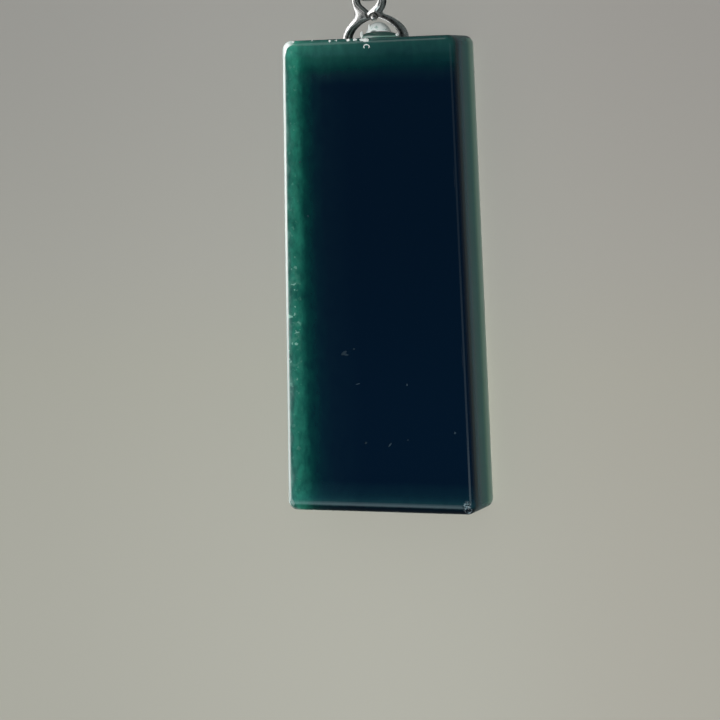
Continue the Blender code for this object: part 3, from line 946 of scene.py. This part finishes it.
# Noises, as their scale to a millimetre, detail, roughness and distortion
WANDER_NOISE = (0.9, 3.0, 0.6)
MOTTLE_NOISE = (1.3, 4.0, 0.6, 0.4)
HAZE_NOISE = (1.3, 2.0, 0.5)
GRAIN_NOISE = (1.9, 2.5, 0.5)
CHIP_NOISE = (3.4, 2.0, 0.6)
CLOUD_NOISE = (1.6, 3.0, 0.6)

# How the glow's noises are stretched, how far the left band wanders in millimetres, the share of
# that by which the top and bottom bands do, and how strong the mottling is
GLOW_STRETCH = (1.0, 0.55, 0.8)
LEFT_WANDER = 1.1
TOP_WANDER = 0.6
BOTTOM_WANDER = 0.4
MOTTLE_LOW = 0.1
MOTTLE_RANGE = 1.8
END_MOTTLE = 0.45

# Fades: from one level to another, in millimetres, and the values there. LEFT_WIDENING and
# DEEP_LIFT go by the height above the plaque's middle.
LEFT_WIDENING = (8.0, -20.0, 0.88, 1.0)
TOP_SHARE = (3.0, 12.0, 2.5, 1.1)
BOTTOM_SHARE = (2.0, 8.0, 1.7, 1.0)
DEEP_LIFT = (8.0, -18.0, 1.0, 1.22)
DEEP_FOOT = (0.4, 0.8, 0.35, 1.0)

# Haze and grains in the green band, round a height counted from the plaque's middle: the fades in
# millimetres from that height and across the band, then those of the two noises
PATCH_HEIGHT = -4.6
PATCH_FADE = (7.5, 2.5, 0.15, 0.95)
BAND_START = (0.2, 0.5)
BAND_END = (1.9, 1.1)
HAZE_FADE = (0.50, 0.62, 0.0, 0.45)
HAZE_GREEN = (0.10, 0.30, 0.23, 1.0)
GRAIN_FADE = (0.61, 0.67)
GRAIN_GREEN = (0.26, 0.54, 0.45, 1.0)

# The right side's wall, with its painted light and reflection, and the painted highlight and glow
# on the left edge's rim, by distances in millimetres
SIDE_FADE = (0.4, 0.1)
SIDE_FRONT = (5.5, 5.0)
RIM_FADE = (0.46, 0.37)
RIM_ACROSS = (1.5, 0.6)
RIM_ALONG = (6.0, -12.0, 1.0, 0.75)
CORNER_UP = (1.6, 0.3)
CORNER_ACROSS = (1.3, 0.4)
CORNER_SPREAD = (2.0, 4.0, 0.0, 0.34)
# The rim's white is a painted highlight, and its glow a painted light given off by the stone
RIM_PAINTED_HIGHLIGHT = (0.94, 1.0, 0.97, 1.0)
RIM_PAINTED_GLOW = (0.28, 0.34, 0.32, 1.0)
RIM_PAINTED_GLOW_POWER = 3.0
BLACK = (0.0, 0.0, 0.0, 1.0)

# Painted glints round the chips: their middle in millimetres across and above the plaque's middle
CHIPPED_PLACE = (8.84, -21.78)
CHIPPED_SQUASH = 0.7
CHIPPED_FADE = (0.50, 0.36)
CHIP_GLINT_FADE = (0.47, 0.60, 0.0, 0.85)
CHIP_GLINT_GREY = (0.24, 0.34, 0.38, 1.0)

# The boss and the ridge, which stand above the top edge, where the depth below it is negative
CLOUD_FADE = (0.29, 0.40)
# The boss's pale colour is a painted highlight, broken up by the cloud noise
BOSS_CLOUD = (0.34, 0.53, 0.48, 1.0)
BOSS_HIGHLIGHT = (0.92, 1.0, 0.98, 1.0)
RIDGE_FADE = (-0.17, -0.10)
RIDGE_DARK = (0.030, 0.080, 0.068, 1.0)
RIDGE_PALE = (0.16, 0.29, 0.24, 1.0)
RIDGE_EDGE = 0.08
ABOVE_FADE = (-0.01, -0.06)

JADE_ROUGHNESS = 0.07
JADE_IOR = 1.62


def depths_in_tablet(nodes):
    """How deep a point lies below each side of the tablet, and its height on it, in millimetres."""
    place = millimetres(nodes)
    x, y, z = nodes.split(place)
    slope = math.tan(LEAN)
    half_at_origin = (PLAQUE_BOTTOM_WIDTH / 2 + slope * BOTTOM_Y) / MM
    half = nodes.math("SUBTRACT", half_at_origin, nodes.math("MULTIPLY", y, slope))
    return SimpleNamespace(
        place=place,
        up=nodes.math("SUBTRACT", y, CENTRE_Y / MM),
        left=nodes.math("ADD", x, half),
        right=nodes.math("SUBTRACT", half, x),
        top=nodes.math("SUBTRACT", TOP_Y / MM, y),
        bottom=nodes.math("SUBTRACT", y, BOTTOM_Y / MM),
        front=nodes.math("SUBTRACT", THICKNESS / MM, z),
        back=z,
    )


def jade_glow(nodes, at):
    """The green that shows where light comes in at the left, top and bottom edges.

    The left band widens downwards, the top band is strongest near the left, and a slow noise makes
    all of them wander. A finer noise mottles the sum.
    """
    stretched = nodes.vector("MULTIPLY", at.place, GLOW_STRETCH)
    wander = nodes.math("SUBTRACT", nodes.noise(stretched, *WANDER_NOISE), NOISE_MIDDLE)
    wander = nodes.times(wander, LEFT_WANDER)
    left_depth = nodes.math("ADD", at.left, wander)
    left_depth = nodes.math("DIVIDE", left_depth, nodes.fade(at.up, *LEFT_WIDENING))
    top_depth = nodes.math("ADD", at.top, nodes.times(wander, TOP_WANDER))
    bottom_depth = nodes.math("ADD", at.bottom, nodes.times(wander, BOTTOM_WANDER))
    left = nodes.depth_ramp(left_depth, LEFT_REACH, LEFT_GLOW)
    top = nodes.depth_ramp(top_depth, TOP_REACH, TOP_GLOW)
    top = nodes.scaled(top, nodes.fade(at.left, *TOP_SHARE))
    bottom = nodes.depth_ramp(bottom_depth, BOTTOM_REACH, BOTTOM_GLOW)
    bottom = nodes.scaled(bottom, nodes.fade(at.left, *BOTTOM_SHARE))
    mottle = nodes.times(nodes.noise(stretched, *MOTTLE_NOISE), MOTTLE_RANGE)
    strength = nodes.math("ADD", mottle, MOTTLE_LOW)
    softer = nodes.math("ADD", nodes.times(strength, END_MOTTLE), 1 - END_MOTTLE)
    ends = nodes.scaled(nodes.vector("ADD", top, bottom), softer)
    return nodes.vector("ADD", nodes.scaled(left, strength), ends)


def deep_jade(nodes, at):
    """The deep colour, a little lighter downwards and darker in the foot's rounding."""
    lift = nodes.times(nodes.fade(at.up, *DEEP_LIFT), nodes.fade(at.bottom, *DEEP_FOOT))
    return nodes.scaled(DEEP_JADE, lift)


def add_haze(nodes, at, colour):
    """Haze and bright grains in the green band, mostly below its middle."""
    from_patch = nodes.math("ABSOLUTE", nodes.math("SUBTRACT", at.up, PATCH_HEIGHT))
    in_band = nodes.times(nodes.fade(at.left, *BAND_START), nodes.fade(at.left, *BAND_END))
    in_patch = nodes.times(in_band, nodes.fade(from_patch, *PATCH_FADE))
    haze = nodes.fade(nodes.noise(at.place, *HAZE_NOISE), *HAZE_FADE)
    colour = nodes.mix(nodes.times(haze, in_patch), colour, HAZE_GREEN)
    grain = nodes.fade(nodes.noise(at.place, *GRAIN_NOISE), *GRAIN_FADE)
    return nodes.mix(nodes.times(grain, in_patch), colour, GRAIN_GREEN)


def add_right_side(nodes, at, colour):
    """The right side turns green, then pale, towards its back edge.

    The green is painted light coming through the stone, and the pale edge a painted reflection.
    """
    share = nodes.times(nodes.fade(at.right, *SIDE_FADE), nodes.fade(at.back, *SIDE_FRONT))
    return nodes.mix(share, colour, nodes.depth_ramp(at.back, THICKNESS / MM, SIDE_GLOW))


def left_rim_highlight(nodes, at):
    """How much a point lies in the painted highlight on the left edge's rounding, from 0 to 1.

    The distance to the outline is the corner's radius less the root of the sum of the squares of
    how far the point lies past the corner's centre each way. The distance to the nearer face is
    added to it. At the top corner a spread is taken off the two, so that the rim is wider there.
    """
    radius = CORNER_RADIUS / MM
    across = nodes.math("MAXIMUM", nodes.math("SUBTRACT", radius, at.left), 0.0)
    near_end = nodes.math("MINIMUM", at.top, at.bottom)
    along = nodes.math("MAXIMUM", nodes.math("SUBTRACT", radius, near_end), 0.0)
    squares = nodes.math("ADD", nodes.times(across, across), nodes.times(along, along))
    from_outline = nodes.math("SUBTRACT", radius, nodes.math("SQRT", squares))
    distance = nodes.math("ADD", from_outline, nodes.math("MINIMUM", at.front, at.back))
    at_corner = nodes.times(nodes.fade(at.top, *CORNER_UP), nodes.fade(at.left, *CORNER_ACROSS))
    spread = nodes.times(at_corner, nodes.fade(at.back, *CORNER_SPREAD))
    rim = nodes.fade(nodes.math("SUBTRACT", distance, spread), *RIM_FADE)
    return nodes.times(rim, nodes.fade(at.left, *RIM_ACROSS), nodes.fade(at.up, *RIM_ALONG))


def add_chip_glints(nodes, at, colour):
    """Painted glints round the chips in the bottom right corner of the front, as pale speckles."""
    flat = nodes.vector("MULTIPLY", at.place, (1.0, CHIPPED_SQUASH, 0.0))
    middle = (CHIPPED_PLACE[0], (CENTRE_Y / MM + CHIPPED_PLACE[1]) * CHIPPED_SQUASH, 0.0)
    away = nodes.vector("DISTANCE", flat, middle, output=1)
    glinting = nodes.fade(nodes.noise(at.place, *CHIP_NOISE), *CHIP_GLINT_FADE)
    return nodes.mix(nodes.times(glinting, nodes.fade(away, *CHIPPED_FADE)), colour, CHIP_GLINT_GREY)


def add_boss_and_ridge(nodes, at, colour):
    """The boss's pale colour is a painted highlight, broken by a cloudy noise.

    The ridge of cement in front of it is a grey green, lighter along its lower edge.
    """
    cloud = nodes.noise(at.place, *CLOUD_NOISE)
    boss = nodes.mix(nodes.fade(cloud, *CLOUD_FADE), BOSS_CLOUD, BOSS_HIGHLIGHT)
    ridge = nodes.mix(nodes.fade(at.top, *RIDGE_FADE), RIDGE_DARK, RIDGE_PALE)
    ridge_start = (MID_Z + ARCH_DEPTH / 2 + RIDGE_GAP) / MM
    in_ridge = nodes.fade(at.back, ridge_start, ridge_start + RIDGE_EDGE)
    return nodes.mix(nodes.fade(at.top, *ABOVE_FADE), colour, nodes.mix(in_ridge, boss, ridge))


def jade_material():
    """Polished dark jade: near black inside, green where light comes in at its thin edges.

    The left rim carries a painted highlight and a painted glow.
    """
    material, nodes, shader = new_material("polished_jade")
    at = depths_in_tablet(nodes)
    colour = nodes.vector("ADD", jade_glow(nodes, at), deep_jade(nodes, at))
    colour = add_haze(nodes, at, colour)
    colour = add_right_side(nodes, at, colour)
    rim = left_rim_highlight(nodes, at)
    # Painted highlight: the rounding of the left edge is whitened
    colour = nodes.mix(rim, colour, RIM_PAINTED_HIGHLIGHT)
    colour = add_chip_glints(nodes, at, colour)
    nodes.set_shader(
        shader,
        Base_Color=add_boss_and_ridge(nodes, at, colour),
        # Painted glow: the left rim gives off a faint light of its own
        Emission_Color=nodes.mix(nodes.math("POWER", rim, RIM_PAINTED_GLOW_POWER), BLACK, RIM_PAINTED_GLOW),
        Emission_Strength=1.0,
        Roughness=JADE_ROUGHNESS,
        IOR=JADE_IOR,
    )
    return material


# The dark crease of the neck, in millimetres: its width, its lean across for each millimetre down,
# the fades at its ends, and the depth over which it darkens towards the front. The ring round the
# bead fades over these shares of the width.
CREASE_WIDTH = 0.09
CREASE_LEAN = 0.35
CREASE_START = (-0.10, 0.0)
CREASE_END = (0.75, 0.6)
CREASE_DEPTH = 0.6
RING_SHARES = (1.5, 0.5)


def crease_shade(nodes, place):
    """Dark in the crease of the neck, where the strip's ends meet, and round the bead of solder.

    The crease leans from the V's point down to the arch, and the ring lies a little outside the
    bead's radius. Each is dark within the crease's width.
    """
    x, y, z = nodes.split(place)
    down = nodes.math("SUBTRACT", (TOP_Y + CREST) / MM, y)
    line_x = nodes.math("ADD", EYE_OFFSET_X / MM, nodes.times(down, CREASE_LEAN))
    away = nodes.math("ABSOLUTE", nodes.math("SUBTRACT", x, line_x))
    near = nodes.fade(away, 2 * CREASE_WIDTH, CREASE_WIDTH)
    line = nodes.times(near, nodes.fade(down, *CREASE_START), nodes.fade(down, *CREASE_END))
    flat = nodes.add("ShaderNodeCombineXYZ", {0: x, 1: y})
    bead_x, bead_y, _ = bead_place()
    to_bead = nodes.vector("DISTANCE", flat, (bead_x / MM, bead_y / MM, 0.0), output=1)
    off_ring = nodes.math("SUBTRACT", to_bead, BEAD_RADIUS / MM + CREASE_WIDTH)
    off_ring = nodes.math("ABSOLUTE", off_ring)
    ring = nodes.fade(off_ring, *(share * CREASE_WIDTH for share in RING_SHARES))
    in_front = nodes.fade(z, MID_Z / MM, MID_Z / MM + CREASE_DEPTH)
    dark = nodes.times(nodes.math("MAXIMUM", line, ring), in_front)
    return nodes.math("SUBTRACT", 1.0, dark)


# Silver: its bright colour, the dull colour of each piece, on the mount both tarnish and painted
# shade, and how far stains change its polish
BRIGHT_SILVER = (0.93, 0.93, 0.90, 1.0)
MOUNT_TARNISH_AND_SHADE = (0.062, 0.062, 0.058, 1.0)
MOUNT_STAIN = 0.22
BAIL_DULL = (0.10, 0.10, 0.095, 1.0)
BAIL_STAIN = 0.08
BLOTCH_NOISE = (2.4, 4.0, 0.6)
BLOTCH_FADE = (0.3, 0.7)
SCRATCH_STRETCH = (9.0, 2.0, 2.0)
SCRATCH_NOISE = (3.0, 5.0, 0.7)
SCRATCH_FADE = (0.3, 0.75, 0.0, 0.07)
DULLNESS = (0.0, 1.0, 0.42, 0.12)
# The brightest silver is less metallic, so it shows white: a painted highlight
METAL_SHARE = (0.55, 1.0, 1.0, 0.65)
UNEVEN_NOISE = (3.2, 2.0, 0.5)
UNEVEN_STRENGTH = 0.35
UNEVEN_DEPTH = 0.03 * MM


def silver_material(name, dull, stain, crease=False):
    """Silver that is bright where it is rubbed and dull where tarnish stays, by its polish.

    The polish also carries painted light: highlight where it is brightest, shade on the mount.
    """
    material, nodes, shader = new_material(name)
    place = millimetres(nodes)
    polish_and_light = nodes.add("ShaderNodeAttribute", output=2, attribute_name="polish_and_light")
    blotches = nodes.fade(nodes.noise(place, *BLOTCH_NOISE), *BLOTCH_FADE, -stain, stain)
    worn_and_lit = nodes.math("ADD", polish_and_light, blotches, clamp=True)
    if crease:
        worn_and_lit = nodes.times(worn_and_lit, crease_shade(nodes, place))
    scratches = nodes.noise(nodes.vector("MULTIPLY", place, SCRATCH_STRETCH), *SCRATCH_NOISE)
    scratched = nodes.fade(scratches, *SCRATCH_FADE)
    nodes.set_shader(
        shader,
        Base_Color=nodes.mix(worn_and_lit, dull, BRIGHT_SILVER),
        Metallic=nodes.fade(worn_and_lit, *METAL_SHARE),
        Roughness=nodes.math("ADD", nodes.fade(worn_and_lit, *DULLNESS), scratched),
        Normal=nodes.add("ShaderNodeBump", {
            "Strength": UNEVEN_STRENGTH,
            "Distance": UNEVEN_DEPTH,
            "Height": nodes.noise(place, *UNEVEN_NOISE),
        }),
    )
    return material


CLEAR_NOISE = (4.0, 2.0, 0.5)
CLEAR_FADE = (0.35, 0.6)
CEMENT_CLOUD = (0.82, 0.91, 0.88, 1.0)
# Near white where the cement is clear: a painted glint
CEMENT_GLINT_WHITE = (0.95, 1.0, 0.98, 1.0)
CEMENT_DULLNESS = (0.0, 1.0, 0.35, 0.2)


def cement_material():
    """Dried clear cement: pale, a little cloudy, and glossier where it is clear.

    Its near white is partly a painted glint.
    """
    material, nodes, shader = new_material("dried_cement")
    clear = nodes.fade(nodes.noise(millimetres(nodes), *CLEAR_NOISE), *CLEAR_FADE)
    nodes.set_shader(
        shader,
        Base_Color=nodes.mix(clear, CEMENT_CLOUD, CEMENT_GLINT_WHITE),
        Roughness=nodes.fade(clear, *CEMENT_DULLNESS),
    )
    return material


DUST_NOISE = (0.45, 2.0, 0.5)
DUST_FADE = (0.4, 0.6)
DUST_FAINT = (0.014, 0.030, 0.044, 1.0)
DUST_GREY = (0.030, 0.055, 0.078, 1.0)
DUST_ROUGHNESS = 0.85
DUST_SHEEN = 0.2


def dust_material():
    """Grey dust, some flecks fainter than others."""
    material, nodes, shader = new_material("dust")
    shade = nodes.fade(nodes.noise(millimetres(nodes), *DUST_NOISE), *DUST_FADE)
    nodes.set_shader(
        shader,
        Base_Color=nodes.mix(shade, DUST_FAINT, DUST_GREY),
        Roughness=DUST_ROUGHNESS,
        Specular_IOR_Level=DUST_SHEEN,
    )
    return material


# The floor's colours along the plaque, from below its foot to above its top, and its fades to both
# sides, by places in millimetres: a painted fall-off of light
FLOOR_ALONG = (-50.0, 30.0)
FLOOR_COLOURS = (
    (0.00, (0.540, 0.540, 0.472)),
    (0.40, (0.500, 0.500, 0.435)),
    (0.60, (0.472, 0.470, 0.424)),
    (1.00, (0.415, 0.410, 0.384)),
)
FLOOR_MIDDLE = -3.0
FLOOR_SIDES = (0.0, 45.0, 1.04, 0.95)
FLOOR_RIGHT = (5.0, 25.0)
FLOOR_ROSE = (1.0, 0.98, 0.98, 1.0)
FLOOR_MIRRORED = (0.31, 0.37, 0.40, 1.0)
FLOOR_ROUGHNESS = 0.9
WHITE = (1.0, 1.0, 1.0, 1.0)


def floor_material():
    """A pale matt floor, a little darker behind the plaque's top and towards the sides.

    The darkening is a painted fall-off of light.
    """
    material, nodes, shader = new_material("pale_floor")
    x, y, _ = nodes.split(millimetres(nodes))
    along = nodes.ramp(nodes.fade(y, *FLOOR_ALONG), FLOOR_COLOURS)
    away = nodes.math("ABSOLUTE", nodes.math("SUBTRACT", x, FLOOR_MIDDLE))
    rosy = nodes.mix(nodes.fade(x, *FLOOR_RIGHT), WHITE, FLOOR_ROSE)
    seen = nodes.scaled(nodes.vector("MULTIPLY", along, rosy), nodes.fade(away, *FLOOR_SIDES))
    # Glossy rays see the floor darker and cooler: a painted change to its reflections
    path = nodes.tree.nodes.new("ShaderNodeLightPath")
    mirrored = nodes.mix(path.outputs["Is Glossy Ray"], WHITE, FLOOR_MIRRORED)
    nodes.set_shader(
        shader,
        Base_Color=nodes.vector("MULTIPLY", seen, mirrored),
        Roughness=FLOOR_ROUGHNESS,
        Specular_IOR_Level=0.0,
    )
    return material


# Floor, light and camera

FLOOR_HALF = 1.5


def make_floor():
    """A flat square floor that the plaque lies on."""
    half = FLOOR_HALF
    points = np.array([(-half, -half, 0), (half, -half, 0), (half, half, 0), (-half, half, 0)])
    floor = make_piece("floor", points, [np.arange(4)[None]], floor_material())


# Panels of light: the angles between which each is seen, across and along, its height over the
# floor, its radiance and its colour
PLAIN_LIGHT = (1.0, 1.0, 1.0)
COOL_LIGHT = (0.75, 0.95, 1.0)
FOOT_LIGHT = (0.8, 0.95, 1.0)
OVERHEAD = ((-29, 29), (-29, 29), 0.9, 2.3, PLAIN_LIGHT)
PANELS = {
    "bevel_panel_0": ((-6, 32), (-25, 6), 0.90, 0.17, COOL_LIGHT),
    "bevel_panel_1": ((-6, 32), (-25, -3.2), 0.91, 0.10, COOL_LIGHT),
    "bevel_panel_2": ((-6, 32), (-25, -5.6), 0.92, 0.06, COOL_LIGHT),
    "bevel_panel_3": ((-6, 32), (-25, -8), 0.93, 0.45, COOL_LIGHT),
    "foot_panel": ((-31.6, -11.6), (-37, -25), 0.90, 0.6, FOOT_LIGHT),
    "wide_foot_panel": ((-31.6, -11.6), (-42, -18), 0.91, 0.5, FOOT_LIGHT),
    "top_panel": ((-40, -22.5), (10, 60), 0.9, 0.8, PLAIN_LIGHT),
}

# The standing panel on the left: its lowest and highest angle, half its length as an angle, its
# distance and its radiance
LEFT_HEIGHTS = (22, 58)
LEFT_HALF_LENGTH = 50
LEFT_DISTANCE = 0.7
LEFT_RADIANCE = 2.3


def tangents(distance, angles):
    """The distance times the tangent of each angle, in degrees."""
    return distance * np.tan(np.radians(angles))


def add_light(name, size, location, radiance, colour):
    """A rectangle of light that faces down and casts no shadow.

    Its power is the radiance times the area times pi.
    """
    data = bpy.data.lights.new(name, "AREA")
    data.shape = "RECTANGLE"
    data.size, data.size_y = size
    data.energy = radiance * data.size * data.size_y * math.pi
    data.color = colour
    data.use_shadow = False
    light = bpy.data.objects.new(name, data)
    light.location = location
    light.visible_diffuse = False
    light.visible_camera = False
    bpy.context.scene.collection.objects.link(light)
    return light


def add_panel(name, across, along, height, radiance, colour):
    """A flat panel of light over the plaque, given by the angles between which it is seen from there.

    The angles are in degrees from straight up, across towards +X and along towards +Y. Each edge
    lies at the tangent of its angle times the height.
    """
    x0, x1 = tangents(height, across)
    y0, y1 = tangents(height, along)
    place = ((x0 + x1) / 2, CENTRE_Y + (y0 + y1) / 2, height)
    return add_light(name, (x1 - x0, y1 - y0), place, radiance, colour)


def add_left_light():
    """A standing panel on the left, whose mirror image whitens the silver's left flanks."""
    low, high = tangents(LEFT_DISTANCE, LEFT_HEIGHTS)
    size = (high - low, 2 * tangents(LEFT_DISTANCE, LEFT_HALF_LENGTH))
    place = (-LEFT_DISTANCE, CENTRE_Y, (low + high) / 2)
    light = add_light("left_light", size, place, LEFT_RADIANCE, PLAIN_LIGHT)
    light.rotation_euler = (0, -math.pi / 2, 0)


def make_lights():
    """Soft light from above for what is matt, and panels that only the glossy faces mirror."""
    overhead = add_panel("overhead", *OVERHEAD)
    overhead.visible_diffuse = True
    overhead.visible_glossy = False
    overhead.data.cycles.use_multiple_importance_sampling = False
    for name, panel in PANELS.items():
        add_panel(name, *panel)
    add_left_light()


# What surrounds the plaque, as the camera sees it, as matt surfaces see it, and as glossy ones do
# at the horizon and overhead
AIR_SEEN = (0.38, 0.38, 0.34, 1.0)
AIR_SOFT = (0.15, 0.15, 0.15, 1.0)
AIR_LOW = (0.07, 0.07, 0.07, 1.0)
AIR_HIGH = (0.012, 0.016, 0.02, 1.0)
AIR_FADE = (0.1, 0.82)


def make_world():
    """Pale for the camera and for soft light, and nearly dark overhead for reflections."""
    world = bpy.data.worlds.new("studio")
    world.use_nodes = True
    nodes = Nodes(world.node_tree)
    path = world.node_tree.nodes.new("ShaderNodeLightPath")
    _, _, height = nodes.split(nodes.add("ShaderNodeTexCoord", output=0))
    gloss = nodes.mix(nodes.fade(height, *AIR_FADE), AIR_LOW, AIR_HIGH)
    unseen = nodes.mix(path.outputs["Is Diffuse Ray"], gloss, AIR_SOFT)
    colour = nodes.mix(path.outputs["Is Camera Ray"], unseen, AIR_SEEN)
    nodes.set_shader(world.node_tree.nodes["Background"], Color=colour)
    bpy.context.scene.world = world


def make_camera():
    """The camera: it looks at the target from its azimuth, elevation and roll about the front."""
    back = Vector((
        math.sin(VIEW_AZIMUTH) * math.cos(VIEW_ELEVATION),
        math.sin(VIEW_ELEVATION),
        math.cos(VIEW_AZIMUTH) * math.cos(VIEW_ELEVATION),
    ))
    level = Vector((0, 1, 0)).cross(back).normalized()
    upright = back.cross(level)
    right = math.cos(VIEW_ROLL) * level + math.sin(VIEW_ROLL) * upright
    up = math.cos(VIEW_ROLL) * upright - math.sin(VIEW_ROLL) * level
    data = bpy.data.cameras.new("camera")
    data.lens = VIEW_LENS
    data.sensor_width = SENSOR_WIDTH
    data.clip_start = NEAREST
    data.clip_end = FARTHEST
    camera = bpy.data.objects.new("camera", data)
    turn = Matrix((right, up, back)).transposed().to_4x4()
    target = Vector((TARGET_X, CENTRE_Y - TARGET_BELOW_CENTRE, MID_Z))
    camera.matrix_world = Matrix.Translation(target + back * VIEW_DISTANCE) @ turn
    bpy.context.scene.collection.objects.link(camera)
    bpy.context.scene.camera = camera


def main():
    make_camera()
    make_lights()
    make_world()
    make_floor()
    bpy.context.scene.view_settings.view_transform = "Standard"

    build_jade(jade_material())
    build_mount(silver_material("mount_silver_polish", MOUNT_TARNISH_AND_SHADE, MOUNT_STAIN, crease=True))
    build_bail(silver_material("bail_silver_polish", BAIL_DULL, BAIL_STAIN))
    build_cement(cement_material())
    build_dust(dust_material())


main()
